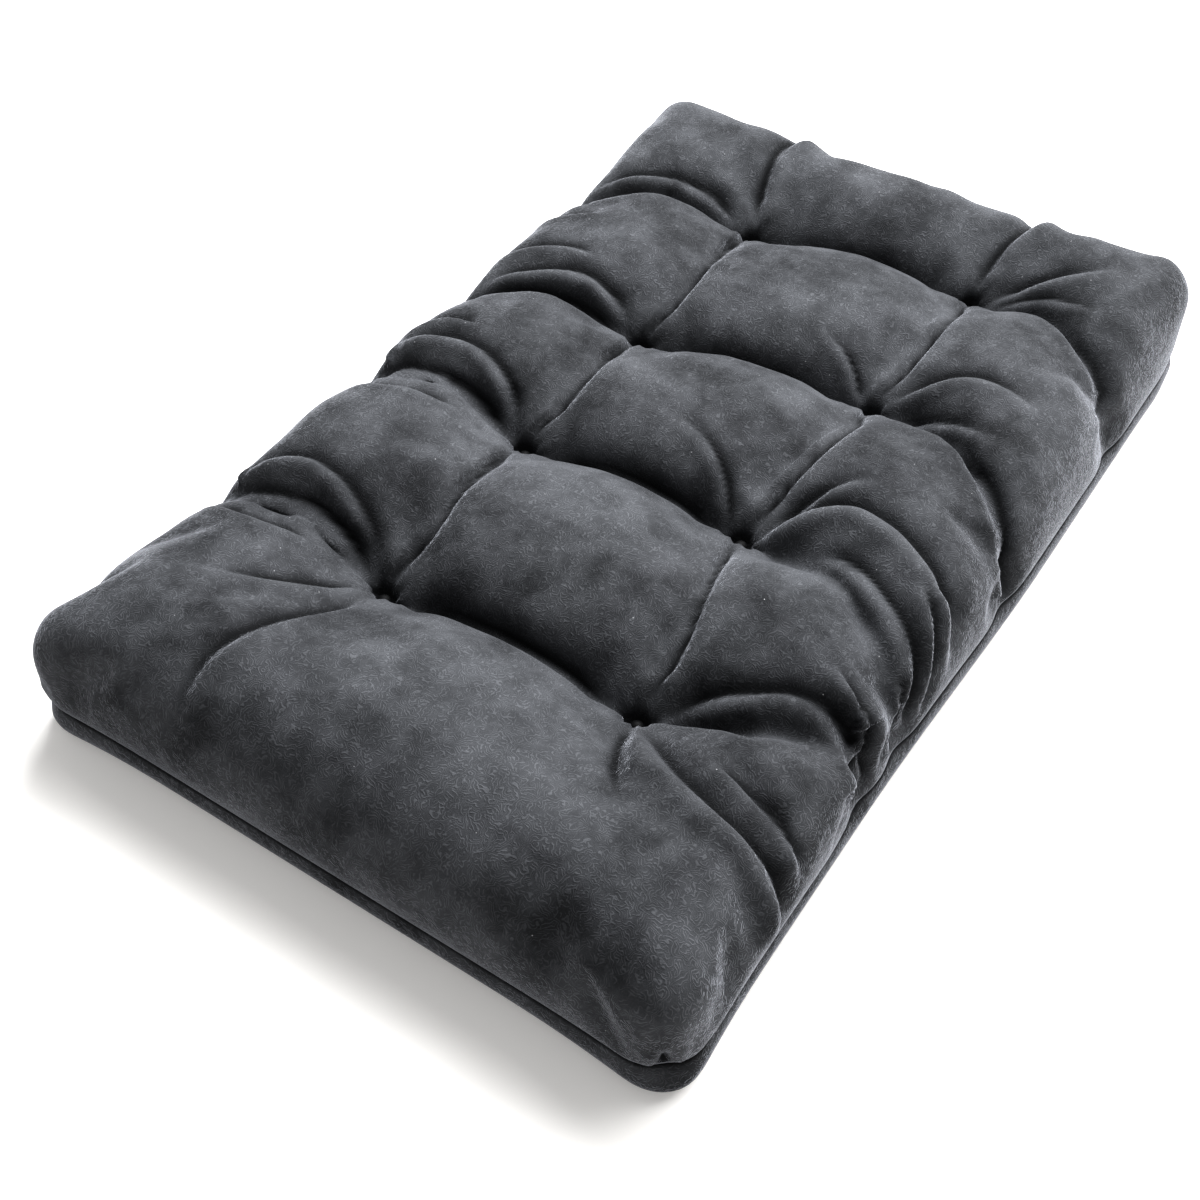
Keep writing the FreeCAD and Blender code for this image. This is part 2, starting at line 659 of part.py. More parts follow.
def main():
    """Builds every sub-part, checks it and writes it out."""
    pieces = casing() + seam_threads() + dart_threads() + filling() + tufting()
    check_document()
    export(pieces)


main()
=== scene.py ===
"""A tufted plush futon mattress on a pale studio floor.

The casing is laid out as two cut panels, swollen over its filling with the tufts, the seam and the corner
darts held, and then dressed in a brushed pile fabric. Metres throughout: X across, Y along, Z up.
"""
import json
import logging
import math
from dataclasses import dataclass, field
from enum import Enum

import bmesh
import bpy
import numpy as np
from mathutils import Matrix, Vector
from mathutils.bvhtree import BVHTree

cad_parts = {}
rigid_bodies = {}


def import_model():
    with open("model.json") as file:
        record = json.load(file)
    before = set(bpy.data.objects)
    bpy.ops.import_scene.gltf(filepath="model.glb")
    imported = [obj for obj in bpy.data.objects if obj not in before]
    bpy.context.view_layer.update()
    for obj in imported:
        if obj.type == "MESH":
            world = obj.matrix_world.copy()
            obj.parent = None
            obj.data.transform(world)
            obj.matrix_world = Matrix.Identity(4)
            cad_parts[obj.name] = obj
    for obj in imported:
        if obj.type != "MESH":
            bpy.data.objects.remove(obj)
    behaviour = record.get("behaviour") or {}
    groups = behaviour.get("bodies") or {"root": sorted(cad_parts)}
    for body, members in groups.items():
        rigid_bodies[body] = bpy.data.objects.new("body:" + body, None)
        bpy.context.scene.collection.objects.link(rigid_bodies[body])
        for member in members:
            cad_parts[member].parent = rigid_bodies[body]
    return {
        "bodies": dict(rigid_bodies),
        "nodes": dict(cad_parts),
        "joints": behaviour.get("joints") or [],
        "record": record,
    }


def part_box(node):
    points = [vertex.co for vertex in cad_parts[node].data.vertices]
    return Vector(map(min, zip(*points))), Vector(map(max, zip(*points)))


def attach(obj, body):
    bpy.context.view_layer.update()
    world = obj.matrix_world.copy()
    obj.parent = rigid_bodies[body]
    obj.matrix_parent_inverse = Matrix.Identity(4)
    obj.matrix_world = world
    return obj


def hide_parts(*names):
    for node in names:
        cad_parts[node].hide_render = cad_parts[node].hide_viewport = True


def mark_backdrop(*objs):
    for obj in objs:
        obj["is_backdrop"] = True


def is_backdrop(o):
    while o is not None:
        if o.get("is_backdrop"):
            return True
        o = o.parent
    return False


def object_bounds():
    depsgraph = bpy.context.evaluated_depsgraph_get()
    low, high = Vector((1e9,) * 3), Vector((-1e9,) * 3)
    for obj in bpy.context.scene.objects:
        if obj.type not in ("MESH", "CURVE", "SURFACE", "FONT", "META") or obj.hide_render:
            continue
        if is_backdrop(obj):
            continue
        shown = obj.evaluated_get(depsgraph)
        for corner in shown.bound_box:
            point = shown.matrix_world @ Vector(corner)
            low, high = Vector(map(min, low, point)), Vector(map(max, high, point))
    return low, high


LOG = logging.getLogger("futon")
# The point attribute that darkens the pile as painted shade in fold valleys, round the tufts and along the seam.
PAINTED_SHADE_ATTRIBUTE = "painted_shade"
Point = tuple[float, float, float]
Colour = tuple[float, float, float, float]


def smooth(low: float, high: float, value: np.ndarray) -> np.ndarray:
    """Rises smoothly from 0 at low to 1 at high."""
    share = np.clip((value - low) / (high - low), 0.0, 1.0)
    return share * share * (3.0 - 2.0 * share)


def to_segment(x: np.ndarray, y: np.ndarray, start: tuple, end: tuple) -> tuple[np.ndarray, np.ndarray]:
    """Distance of each point from a line segment, and how far along it the nearest point lies.

    Args:
        x: across positions.
        y: along positions.
        start: the segment's first end.
        end: the segment's second end.

    Returns:
        The distances, and the shares from 0 to 1.
    """
    dx, dy = end[0] - start[0], end[1] - start[1]
    share = np.clip(((x - start[0]) * dx + (y - start[1]) * dy) / (dx * dx + dy * dy), 0.0, 1.0)
    return np.hypot(x - start[0] - share * dx, y - start[1] - share * dy), share


def grid_rim(nx: int, ny: int) -> list[tuple[int, int]]:
    """The vertices on the edge of a grid, once round from its first corner.

    Args:
        nx: cells across.
        ny: cells along.

    Returns:
        Each vertex's place across and along.
    """
    walk = [(i, 0) for i in range(nx)] + [(nx, j) for j in range(ny)]
    return walk + [(i, ny) for i in range(nx, 0, -1)] + [(0, j) for j in range(ny, 0, -1)]


def grid_faces(nx: int, ny: int) -> list[tuple[int, ...]]:
    """The faces of a grid, facing up.

    Args:
        nx: cells across.
        ny: cells along.

    Returns:
        The vertex numbers of each face.
    """
    row = nx + 1
    return [(j * row + i, j * row + i + 1, (j + 1) * row + i + 1, (j + 1) * row + i)
            for j in range(ny) for i in range(nx)]


def turned_over(face: tuple[int, ...]) -> tuple[int, ...]:
    """The same face, facing the other way."""
    return face[:1] + face[:0:-1]


def read_points(items: bpy.types.bpy_prop_collection, what: str = "co") -> np.ndarray:
    """Reads the places or normals of a mesh's vertices."""
    values = np.zeros(len(items) * 3)
    items.foreach_get(what, values)
    return values.reshape(-1, 3)


@dataclass
class Tufts:
    """Where the eight tufts pull the casing in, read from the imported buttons."""

    rows: tuple[str, ...] = ("foot", "lower", "upper", "head")
    sides: tuple[str, ...] = ("left", "right")
    edge_notches: dict[str, tuple[float, float]] = field(default_factory=lambda: {
        "foot": (-0.325, -0.262), "lower": (-0.085, -0.185), "upper": (0.080, 0.045), "head": (0.325, 0.330)})

    def centre(self, row: str, side: str) -> tuple[float, float]:
        """The place of one tuft across and along."""
        low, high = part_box("top_button_%s_%s" % (row, side))
        return (low.x + high.x) / 2, (low.y + high.y) / 2

    def centres(self) -> list[tuple[float, float]]:
        """Every tuft's place, row by row from the foot."""
        return [self.centre(row, side) for row in self.rows for side in self.sides]

    def valleys(self, half_width: float) -> list[tuple[tuple, tuple, float, float]]:
        """The creases between tufts, and from the outer tufts out to the notches in the long edges.

        Args:
            half_width: where the creases to the long edges run out.

        Returns:
            Start, end, and the share of full depth at each.
        """
        grid = [[self.centre(row, side) for side in self.sides] for row in self.rows]
        found = []
        for lower, upper in zip(grid, grid[1:]):
            found += [(a, b, 0.45, 0.45) for a, b in zip(lower, upper)]
        for row, (left, right) in zip(self.rows, grid):
            found.append((left, right, 1.0, 1.0))
            for start, way, notch in ((left, -1, self.edge_notches[row][0]), (right, 1, self.edge_notches[row][1])):
                bend = ((start[0] + way * half_width) / 2, start[1] + 0.30 * (notch - start[1]) + 0.010)
                found.append((start, bend, 1.0, 0.75))
                found.append((bend, (way * half_width, notch), 0.75, 0.60))
        return found


@dataclass
class Casing:
    """The sewn plush casing: a crowned top panel and a shallow bottom panel that meet at a low seam."""

    tufts: Tufts
    half_width: float = 0.372
    half_length: float = 0.597
    crest: float = 0.150
    corner: float = 0.052
    seam_height: float = 0.046
    cell: float = 0.009
    seat_height: float = 0.080
    frames: int = 30
    seed: int = 7
    spare_length: float = 0.12
    pressure: float = 8.0
    stiffness: float = 3.0
    unevenness: float = 0.0012
    top_rows: int = 15
    seam_pull: float = 0.0030
    undercut: float = 0.007
    lip: tuple[tuple[float, float], ...] = ((0.037, -0.0015), (0.026, -0.0010), (0.0145, 0.0022), (0.0045, 0.0095),
                                            (0.0, 0.022), (0.0, 0.036))
    waist: float = 0.015
    gather_depth: float = 0.006
    crease_depth: float = 0.050
    head_loft: float = 0.085
    foot_loft: float = 0.02
    left_slack: float = 0.05
    corner_push: float = 0.004
    corner_spread: float = 0.010
    right_spread: float = 0.010
    head_slump: float = 0.006
    left_notch_share: float = 0.15
    pit_width: float = 0.058
    crease_width: float = 0.030
    gather_width: float = 0.008
    notch_width: float = 0.020
    held_round_tuft: float = 0.0105
    dart_steps: tuple[tuple[int, float], ...] = ((-4, 0.002), (-3, 0.005), (-2, 0.007), (-1, 0.007), (0, 0.005),
                                                 (1, 0.004), (2, 0.002))
    dart_width: float = 0.008

    def counts(self) -> tuple[int, int]:
        """Cells across and along."""
        return round(2 * self.half_width / self.cell), round(2 * self.half_length / self.cell)

    def box_points(self) -> tuple[np.ndarray, list[list[int]]]:
        """The casing as a plain rolled box: a top grid, then rings down the walls to the floor.

        Returns:
            The points, and the vertex numbers of each ring from the top grid's edge down.
        """
        nx, ny = self.counts()
        xs = np.linspace(-self.half_width, self.half_width, nx + 1)
        ys = np.linspace(-self.half_length, self.half_length, ny + 1)
        grid = np.array([(x, y, self.crest) for y in ys for x in xs])
        walk = grid_rim(nx, ny)
        edge = np.array([(xs[i], ys[j]) for i, j in walk])
        rings = [[j * (nx + 1) + i for i, j in walk]]
        parts = [grid]
        count = len(grid)
        heights = np.linspace(self.crest, self.seam_height, self.top_rows + 1)[1:]
        for height in heights:
            parts.append(np.column_stack([edge, np.full(len(edge), height)]))
            rings.append(list(range(count, count + len(edge))))
            count += len(edge)
        points = np.vstack(parts)
        inner = self.within_corners(points)
        inner[:, 2] = np.minimum(points[:, 2], self.crest - self.corner)
        away = points - inner
        reach = np.linalg.norm(away, axis=1)
        reach[reach == 0] = 1.0
        points = inner + away / reach[:, None] * self.corner
        seam = points[rings[-1]]
        outward = self.outward(seam)
        rows = [points]
        for height, inset in self.lip:
            ring = seam - outward * inset
            ring[:, 2] = height
            rows.append(ring)
            rings.append(list(range(count, count + len(ring))))
            count += len(ring)
        return np.vstack(rows), rings

    def within_corners(self, points: np.ndarray) -> np.ndarray:
        """The nearest places inside the rounding of the upright corners."""
        inner = points.copy()
        inner[:, 0] = np.clip(points[:, 0], -self.half_width + self.corner, self.half_width - self.corner)
        inner[:, 1] = np.clip(points[:, 1], -self.half_length + self.corner, self.half_length - self.corner)
        return inner

    def outward(self, ring: np.ndarray) -> np.ndarray:
        """Level outward directions of a ring of wall points.

        Args:
            ring: points on the wall.

        Returns:
            A level unit direction for each point.
        """
        away = ring - self.within_corners(ring)
        away[:, 2] = 0.0
        return away / np.maximum(np.linalg.norm(away, axis=1), 1e-9)[:, None]

    def top_faces(self, rings: list[list[int]], first: int, last: int) -> list[tuple[int, ...]]:
        """Faces of the wall between two rings.

        Args:
            rings: the rings, from the top down.
            first: the ring to start at.
            last: the ring to end at.

        Returns:
            The vertex numbers of each face.
        """
        faces = []
        for upper, lower in zip(rings[first:last], rings[first + 1:last + 1]):
            size = len(upper)
            faces += [(upper[k], lower[k], lower[(k + 1) % size], upper[(k + 1) % size]) for k in range(size)]
        return faces

    def warp_to_tufts(self, points: np.ndarray) -> None:
        """Slides the grid a little so that a vertex lies on each tuft's axis.

        Args:
            points: the plain box, changed in place.
        """
        nx, ny = self.counts()
        total = (nx + 1) * (ny + 1)
        for cx, cy in self.tufts.centres():
            gap = np.hypot(points[:total, 0] - cx, points[:total, 1] - cy)
            near = int(np.argmin(gap))
            shift = np.array([cx, cy]) - points[near, :2]
            share = np.exp(-(gap / 0.035) ** 2)
            points[:total, :2] += share[:, None] * shift

    def drop(self, x: np.ndarray, y: np.ndarray) -> np.ndarray:
        """How far the tufts and the creases between them lower the top, as a height.

        Args:
            x: across positions.
            y: along positions.

        Returns:
            The drop at each position.
        """
        pits = np.zeros_like(x)
        for cx, cy in self.tufts.centres():
            gap = np.hypot(x - cx, y - cy)
            pits = np.maximum(pits, np.exp(-(gap / self.pit_width) ** 1.15))
        creases = np.zeros_like(x)
        for start, end, first, last in self.tufts.valleys(self.half_width):
            gap, share = to_segment(x, y, start, end)
            depth = first + (last - first) * share
            creases = np.maximum(creases, depth * np.exp(-(gap / self.crease_width) ** 1.2))
        full = self.crest - self.seat_height
        lowered = np.maximum(full * pits, self.crease_depth * creases + full * pits * 0.6)
        return lowered + self.gather_depth * self.gathers(x, y)

    def gathers(self, x: np.ndarray, y: np.ndarray) -> np.ndarray:
        """The short uneven gathers that run into each tuft, from 0 to 1.

        Args:
            x: across positions.
            y: along positions.

        Returns:
            How strong the gathers are at each position.
        """
        dice = np.random.default_rng(self.seed)
        total = np.zeros_like(x)
        for cx, cy in self.tufts.centres():
            for turn in np.arange(0.0, 2 * math.pi, 2 * math.pi / 7) + dice.uniform(-0.3, 0.3, 7):
                reach = dice.uniform(0.045, 0.085)
                end = (cx + reach * math.cos(turn), cy + reach * math.sin(turn))
                gap, share = to_segment(x, y, (cx, cy), end)
                ridge = np.exp(-(gap / self.gather_width) ** 1.5)
                total = np.maximum(total, smooth(0.0, 0.3, share) * (1.0 - share) * ridge)
        return total

    def waists(self, points: np.ndarray) -> np.ndarray:
        """How far each wall point is drawn in where a row of tufts pulls on the long edge.

        Args:
            points: points on the casing.

        Returns:
            How far each is drawn in.
        """
        drawn = np.zeros(len(points))
        for notches in self.tufts.edge_notches.values():
            for way, notch in zip((-1, 1), notches):
                edge = smooth(0.30, 0.36, way * points[:, 0]) * (1.0 if way > 0 else self.left_notch_share)
                drawn += self.waist * edge * np.exp(-((points[:, 1] - notch) / self.notch_width) ** 2)
        return drawn * smooth(self.seam_height - 0.020, 0.075, points[:, 2])

    def start_points(self, box: np.ndarray, rings: list[list[int]]) -> np.ndarray:
        """The shape the fabric is laid in before it swells.

        Args:
            box: the plain rolled box.
            rings: its rings.

        Returns:
            The laid-out points.
        """
        points = box.copy()
        lift = smooth(0.070, self.crest, points[:, 2])
        points[:, 2] -= self.drop(points[:, 0], points[:, 1]) * lift
        points[:, 1] -= self.outward(box)[:, 1] * self.undercut * (1.0 - smooth(0.030, 0.100, box[:, 2]))
        seam = rings[self.top_rows]
        for step, share in ((0, 1.0), (1, 0.35)):
            ring = rings[self.top_rows + step]
            points[ring] -= self.outward(box[seam]) * self.seam_pull * share
        self.fold_darts(points, rings)
        points[:, 0] -= np.sign(points[:, 0]) * self.waists(box)
        points[:, 2] += self.lumps(points) * smooth(0.060, 0.110, points[:, 2])
        return points

    def lumps(self, points: np.ndarray) -> np.ndarray:
        """The small unevenness of hand-laid filling: a few dozen long soft waves in every direction.

        Args:
            points: points on the casing.

        Returns:
            How far each is raised.
        """
        dice = np.random.default_rng(self.seed)
        total = np.zeros(len(points))
        for _ in range(40):
            turn, phase = dice.uniform(0.0, 2 * math.pi, 2)
            wave = 2 * math.pi / dice.uniform(0.045, 0.130)
            total += np.sin(wave * (points[:, 0] * math.cos(turn) + points[:, 1] * math.sin(turn)) + phase)
        return total / math.sqrt(20.0) * self.unevenness

    def fold_darts(self, points: np.ndarray, rings: list[list[int]]) -> None:
        """Draws the fabric in along the dart at each upright corner.

        Args:
            points: the laid-out points, changed in place.
            rings: the rings of the wall.
        """
        for way_x in (-1, 1):
            for way_y in (-1, 1):
                corner = np.array([way_x * self.half_width, way_y * self.half_length])
                for step, depth in self.dart_steps:
                    ring = np.array(rings[self.top_rows + step])
                    gap = np.hypot(*(points[ring, :2] - corner).T)
                    gap -= gap.min()
                    share = np.exp(-gap / self.dart_width)
                    diagonal = np.array([-way_x, -way_y]) / math.sqrt(2)
                    points[ring, :2] += share[:, None] * diagonal * depth

    def weights(self, start: np.ndarray, rings: list[list[int]]) -> tuple[np.ndarray, np.ndarray]:
        """How firmly each vertex is held, and how much spare fabric it has.

        Args:
            start: the laid-out points; those in the pits are set to the seat height.
            rings: the rings of the wall.

        Returns:
            The hold and the spare fabric of each vertex, from 0 to 1.
        """
        held = np.zeros(len(start))
        nx, ny = self.counts()
        total = (nx + 1) * (ny + 1)
        for cx, cy in self.tufts.centres():
            gap = np.hypot(start[:total, 0] - cx, start[:total, 1] - cy)
            held[:total][gap < self.held_round_tuft] = 1.0
            start[:total, 2][gap < self.held_round_tuft] = self.seat_height
        held[rings[self.top_rows]] = 1.0
        for ring in rings[-2:]:
            held[ring] = 1.0
        for way_x in (-1, 1):
            for way_y in (-1, 1):
                corner = np.array([way_x * self.half_width, way_y * self.half_length])
                for step in (-3, -2, -1, 1, 2):
                    ring = np.array(rings[self.top_rows + step])
                    gap = np.hypot(*(start[ring, :2] - corner).T)
                    held[ring[int(np.argmin(gap))]] = 1.0
        spare = smooth(self.seam_height + 0.015, 0.115, start[:, 2])
        spare[:total] = 1.0
        return held, spare

    def swell(self) -> tuple[np.ndarray, list[list[int]]]:
        """Swells the laid-out fabric over the filling with a cloth simulation.

        Returns:
            The swollen points, and the rings.
        """
        box, rings = self.box_points()
        self.warp_to_tufts(box)
        start = self.start_points(box, rings)
        held, spare = self.weights(start, rings)
        faces = grid_faces(*self.counts()) + self.top_faces(rings, 0, len(rings) - 1)
        mesh = bpy.data.meshes.new("laid_out")
        mesh.from_pydata(start.tolist(), [], faces)
        piece = bpy.data.objects.new("laid_out", mesh)
        bpy.context.scene.collection.objects.link(piece)
        piece.shape_key_add(name="laid", from_mix=False)
        cut = piece.shape_key_add(name="cut", from_mix=False)
        cut.data.foreach_set("co", box.astype(np.float32).ravel())
        cut.value = 0.0
        for name, values in (("held", held), ("spare", spare)):
            group = piece.vertex_groups.new(name=name)
            for number in np.nonzero(values > 0)[0]:
                group.add([int(number)], float(values[number]), "REPLACE")
        cloth = piece.modifiers.new("swell", "CLOTH")
        self.tune(cloth, cut)
        scene = bpy.context.scene
        scene.frame_start, scene.frame_end = 1, self.frames
        for frame in range(1, self.frames + 1):
            scene.frame_set(frame)
            bpy.context.view_layer.update()
        seen = piece.evaluated_get(bpy.context.evaluated_depsgraph_get())
        result = read_points(seen.data.vertices)
        scene.frame_set(1)
        bpy.data.objects.remove(piece)
        return self.plump(result), rings

    def plump(self, points: np.ndarray) -> np.ndarray:
        """Loads more filling into the head end and the four corners, and less along the left edge.

        Args:
            points: the swollen casing.

        Returns:
            The casing with its filling shaken out to the ends.
        """
        points = points.copy()
        x, y, z = points.T
        upper = smooth(self.seam_height, 0.110, z)
        loft = self.head_loft * smooth(0.40, 0.55, y) + self.foot_loft * smooth(0.42, 0.56, -y)
        loft -= self.left_slack * smooth(0.22, 0.34, -x) * (1.0 - smooth(0.36, 0.50, np.abs(y)))
        points[:, 2] += z * upper * loft
        points[:, 1] += self.head_slump * smooth(0.45, 0.59, y) * upper
        away = np.hypot(np.abs(x) - self.half_width, np.abs(y) - self.half_length)
        full = self.corner_push * np.exp(-(away / 0.075) ** 2) * smooth(0.0, self.seam_height, z)
        points[:, 0] += np.sign(x) * full
        points[:, 1] += np.sign(y) * full
        flare = np.exp(-(away / 0.085) ** 2) * (1.0 - smooth(0.0, self.seam_height, z)) * smooth(0.0, 0.004, z)
        points[:, :2] += np.sign(points[:, :2]) * self.corner_spread * flare[:, None]
        slump = smooth(0.30, 0.35, x) * (1.0 - smooth(0.050, 0.120, z))
        points[:, 0] += self.right_spread * slump * smooth(-0.25, 0.15, y) * (1.0 - smooth(0.48, 0.58, y))
        return points

    def tune(self, cloth: bpy.types.Modifier, cut: bpy.types.ShapeKey) -> None:
        """Sets the fabric's stiffness, spare length and swelling pressure.

        Args:
            cloth: the simulation.
            cut: the shape the fabric was cut to.
        """
        settings = cloth.settings
        settings.quality = 6
        settings.mass = 0.25
        settings.air_damping = 2.0
        settings.bending_model = "ANGULAR"
        settings.tension_stiffness = 20.0
        settings.compression_stiffness = 12.0
        settings.shear_stiffness = 8.0
        settings.bending_stiffness = self.stiffness
        settings.tension_damping = 8.0
        settings.compression_damping = 8.0
        settings.shear_damping = 8.0
        settings.bending_damping = 0.5
        settings.use_pressure = True
        settings.uniform_pressure_force = self.pressure
        settings.vertex_group_mass = "held"
        settings.pin_stiffness = 1.0
        settings.rest_shape_key = cut
        settings.vertex_group_shrink = "spare"
        settings.shrink_min = 0.0
        settings.shrink_max = -self.spare_length
        settings.effector_weights.gravity = 0.0
        cloth.collision_settings.use_collision = False
        cloth.collision_settings.use_self_collision = False
        cloth.point_cache.frame_start = 1
        cloth.point_cache.frame_end = self.frames


@dataclass(frozen=True)
class Fold:
    """One long fold in the top panel: a sharp valley with a soft roll of fabric along one side of it.

    The path runs out from a tuft, in metres across and along. A third number is a height on the wall.
    """

    path: tuple[tuple[float, ...], ...]
    depth: float = 0.010
    width: float = 0.008
    roll: float = 1.0
    starts: float = 0.25
    ends: float = 0.35

    def trace(self, tree: BVHTree) -> np.ndarray:
        """Lays the path on the casing.

        Args:
            tree: the casing's surface.

        Returns:
            Points along the fold.
        """
        knots = np.array([(*point, 0.135)[:3] if len(point) == 2 else point for point in self.path])
        padded = np.vstack([2 * knots[0] - knots[1], knots, 2 * knots[-1] - knots[-2]])
        laid = []
        for a, b, c, d in zip(padded, padded[1:], padded[2:], padded[3:]):
            for t in np.linspace(0.0, 1.0, 9)[:-1]:
                place = 0.5 * (2 * b + (c - a) * t + (2 * a - 5 * b + 4 * c - d) * t ** 2
                               + (3 * b - a - 3 * c + d) * t ** 3)
                laid.append(self.settle(place, tree))
        laid.append(self.settle(knots[-1], tree))
        return np.array(laid)

    def settle(self, place: np.ndarray, tree: BVHTree) -> np.ndarray:
        """Drops a point of the path on to the casing, or moves it sideways on to the wall.

        Args:
            place: where the fold should pass.
            tree: the casing's surface.

        Returns:
            The place on the casing.
        """
        hit = None
        if abs(place[0]) < 0.345 and abs(place[1]) < 0.570:
            hit = tree.ray_cast(Vector((place[0], place[1], 0.5)), Vector((0.0, 0.0, -1.0)))[0]
        return np.array(hit or tree.find_nearest(Vector(place))[0])

    def press(self, points: np.ndarray, normals: np.ndarray, laid: np.ndarray) -> tuple[np.ndarray, np.ndarray]:
        """How far the fold moves each point outwards.

        Args:
            points: points of the casing.
            normals: their outward directions.
            laid: points along the fold.

        Returns:
            The move of the outer skin, a wider and lower limit for the inner skin, and how much painted shade darkens
            the pile along the fold.
        """
        outer, inner, painted_shade = np.zeros((3, len(points)))
        reach = 5.0 * self.width + 0.010
        near = np.nonzero(((points > laid.min(0) - reach) & (points < laid.max(0) + reach)).all(axis=1))[0]
        if not len(near):
            return outer, inner, painted_shade
        spot, up = points[near], normals[near]
        best = np.full(len(near), np.inf)
        side, along = np.zeros(len(near)), np.zeros(len(near))
        runs = np.linalg.norm(np.diff(laid, axis=0), axis=1)
        marks = np.concatenate([[0.0], np.cumsum(runs)]) / runs.sum()
        for k, run in enumerate(runs):
            step = laid[k + 1] - laid[k]
            share = np.clip(((spot - laid[k]) @ step) / max(run * run, 1e-12), 0.0, 1.0)
            away = spot - laid[k] - share[:, None] * step
            gap = np.linalg.norm(away, axis=1)
            closer = gap < best
            best[closer] = gap[closer]
            side[closer] = np.sign(np.einsum("ij,ij->i", away, np.cross(up, step)))[closer]
            along[closer] = (marks[k] + share * (marks[k + 1] - marks[k]))[closer]
        taper = smooth(0.0, self.starts, along) * (1.0 - smooth(1.0 - self.ends, 1.0, along))
        taper *= 1.0 - 0.55 * smooth(0.335, 0.372, -spot[:, 0])
        reach = self.width * np.where(side * np.sign(self.roll) > 0, 0.75, 1.6)
        valley = np.exp(-(best / reach) ** 1.4)
        roll = np.exp(-((side * best * np.sign(self.roll) - 2.0 * self.width) / (1.5 * self.width)) ** 2)
        outer[near] = self.depth * taper * (0.55 * abs(self.roll) * roll - valley)
        inner[near] = -1.1 * self.depth * taper * np.exp(-(best / (self.width + 0.010)) ** 2)
        # Painted shade: the pile is darkened along the valley of each fold, where it falls in shade.
        painted_shade[near] = taper * np.exp(-(best / (0.7 * reach)) ** 1.6)
        return outer, inner, painted_shade


@dataclass
class Panels:
    """The two casing panels as thin closed shells of fabric, with their seam edges turned in."""

    casing: Casing
    points: np.ndarray
    rings: list[list[int]]
    fabric: float = 0.0022
    turned_in: float = 0.006
    base_seat: float = 0.024
    cuff: float = 0.009
    button_rim: float = 0.0075
    lining: np.ndarray = field(default=None, init=False)

    def turned_ring(self, lift: float) -> np.ndarray:
        """The ring of the seam edge turned into the casing.

        Args:
            lift: how far above the seam the turned edge lies.

        Returns:
            The ring's points.
        """
        seam = self.points[self.rings[self.casing.top_rows]]
        ring = seam - self.casing.outward(seam) * self.turned_in
        ring[:, 2] += lift
        return ring

    def build_top(self) -> bpy.types.Object:
        """The crowned top panel, from its eight pits down to the seam.

        Returns:
            The panel.
        """
        rings = self.rings[:self.casing.top_rows + 1]
        count = rings[-1][-1] + 1
        faces = grid_faces(*self.casing.counts()) + self.casing.top_faces(rings, 0, len(rings) - 1)
        points = np.vstack([self.points[:count], self.turned_ring(0.0005)])
        last = list(range(count, count + len(rings[-1])))
        faces += self.casing.top_faces([rings[-1], last], 0, 1)
        return self.shell("plush_top_panel", points, faces, last, rings[-1], 1.0, FOLDS + self.corner_darts())

    def corner_darts(self) -> tuple[Fold, ...]:
        """The short upright dart at each corner, with a soft lobe on both sides of it.

        Returns:
            Two folds for each corner.
        """
        casing = self.casing
        inset = casing.corner * (1.0 - math.sqrt(0.5)) + 0.004
        darts = []
        for x in (-1, 1):
            for y in (-1, 1):
                place = (x * (casing.half_width - inset), y * (casing.half_length - inset))
                path = tuple((*place, height) for height in (0.084, 0.070, 0.056, 0.043))
                darts += [Fold(path, depth=0.0030, width=0.0055, roll=roll, starts=0.4, ends=0.02)
                          for roll in (-2.6, 2.6)]
        return tuple(darts)

    def underside(self) -> tuple[np.ndarray, list[int]]:
        """The level underside, drawn up into a shallow pit at each tuft.

        Returns:
            The grid's points, and the numbers of its edge in the order of the rings.
        """
        casing = self.casing
        nx, ny = casing.counts()
        inset = casing.lip[-1][1]
        xs = np.linspace(-casing.half_width, casing.half_width, nx + 1)
        ys = np.linspace(-casing.half_length, casing.half_length, ny + 1)
        flat_x, flat_y = casing.half_width - casing.corner, casing.half_length - casing.corner
        squeeze = (casing.corner - inset) / casing.corner
        xs = np.clip(xs, -flat_x, flat_x) + (xs - np.clip(xs, -flat_x, flat_x)) * squeeze
        ys = np.clip(ys, -flat_y, flat_y) + (ys - np.clip(ys, -flat_y, flat_y)) * squeeze
        grid = np.array([(x, y, 0.0) for y in ys for x in xs])
        away = grid[:, :2] - np.clip(grid[:, :2], (-flat_x, -flat_y), (flat_x, flat_y))
        span = np.maximum(np.linalg.norm(away, axis=1), 1e-9)
        grid[:, :2] -= away * (1.0 - np.abs(away).max(axis=1) / span)[:, None]
        ends = smooth(casing.half_length - 0.140, casing.half_length - inset, np.abs(grid[:, 1]))
        grid[:, 1] -= np.sign(grid[:, 1]) * casing.undercut * ends
        for cx, cy in casing.tufts.centres():
            gap = np.hypot(grid[:, 0] - cx, grid[:, 1] - cy)
            near = int(np.argmin(gap))
            grid[:, :2] += np.exp(-(gap / 0.035) ** 2)[:, None] * (np.array([cx, cy]) - grid[near, :2])
        rise = np.zeros(len(grid))
        for cx, cy in casing.tufts.centres():
            gap = np.hypot(grid[:, 0] - cx, grid[:, 1] - cy)
            around = np.arctan2(grid[:, 1] - cy, grid[:, 0] - cx)
            rise = np.maximum(rise, self.base_seat * (1.0 - smooth(0.010, 0.058, gap)))
            ripple = 0.5 + 0.5 * np.sin(11 * around + 3.0 * np.sin(2 * around + cx * 40.0))
            rise += 0.0016 * ripple * smooth(0.012, 0.030, gap) * (1.0 - smooth(0.040, 0.085, gap))
        for start, end, first, last in casing.tufts.valleys(casing.half_width):
            gap, share = to_segment(grid[:, 0], grid[:, 1], start, end)
            rise = np.maximum(rise, 0.0035 * (first + (last - first) * share) * np.exp(-(gap / 0.012) ** 1.5))
        grid[:, 2] = rise
        return grid, [j * (nx + 1) + i for i, j in grid_rim(nx, ny)]

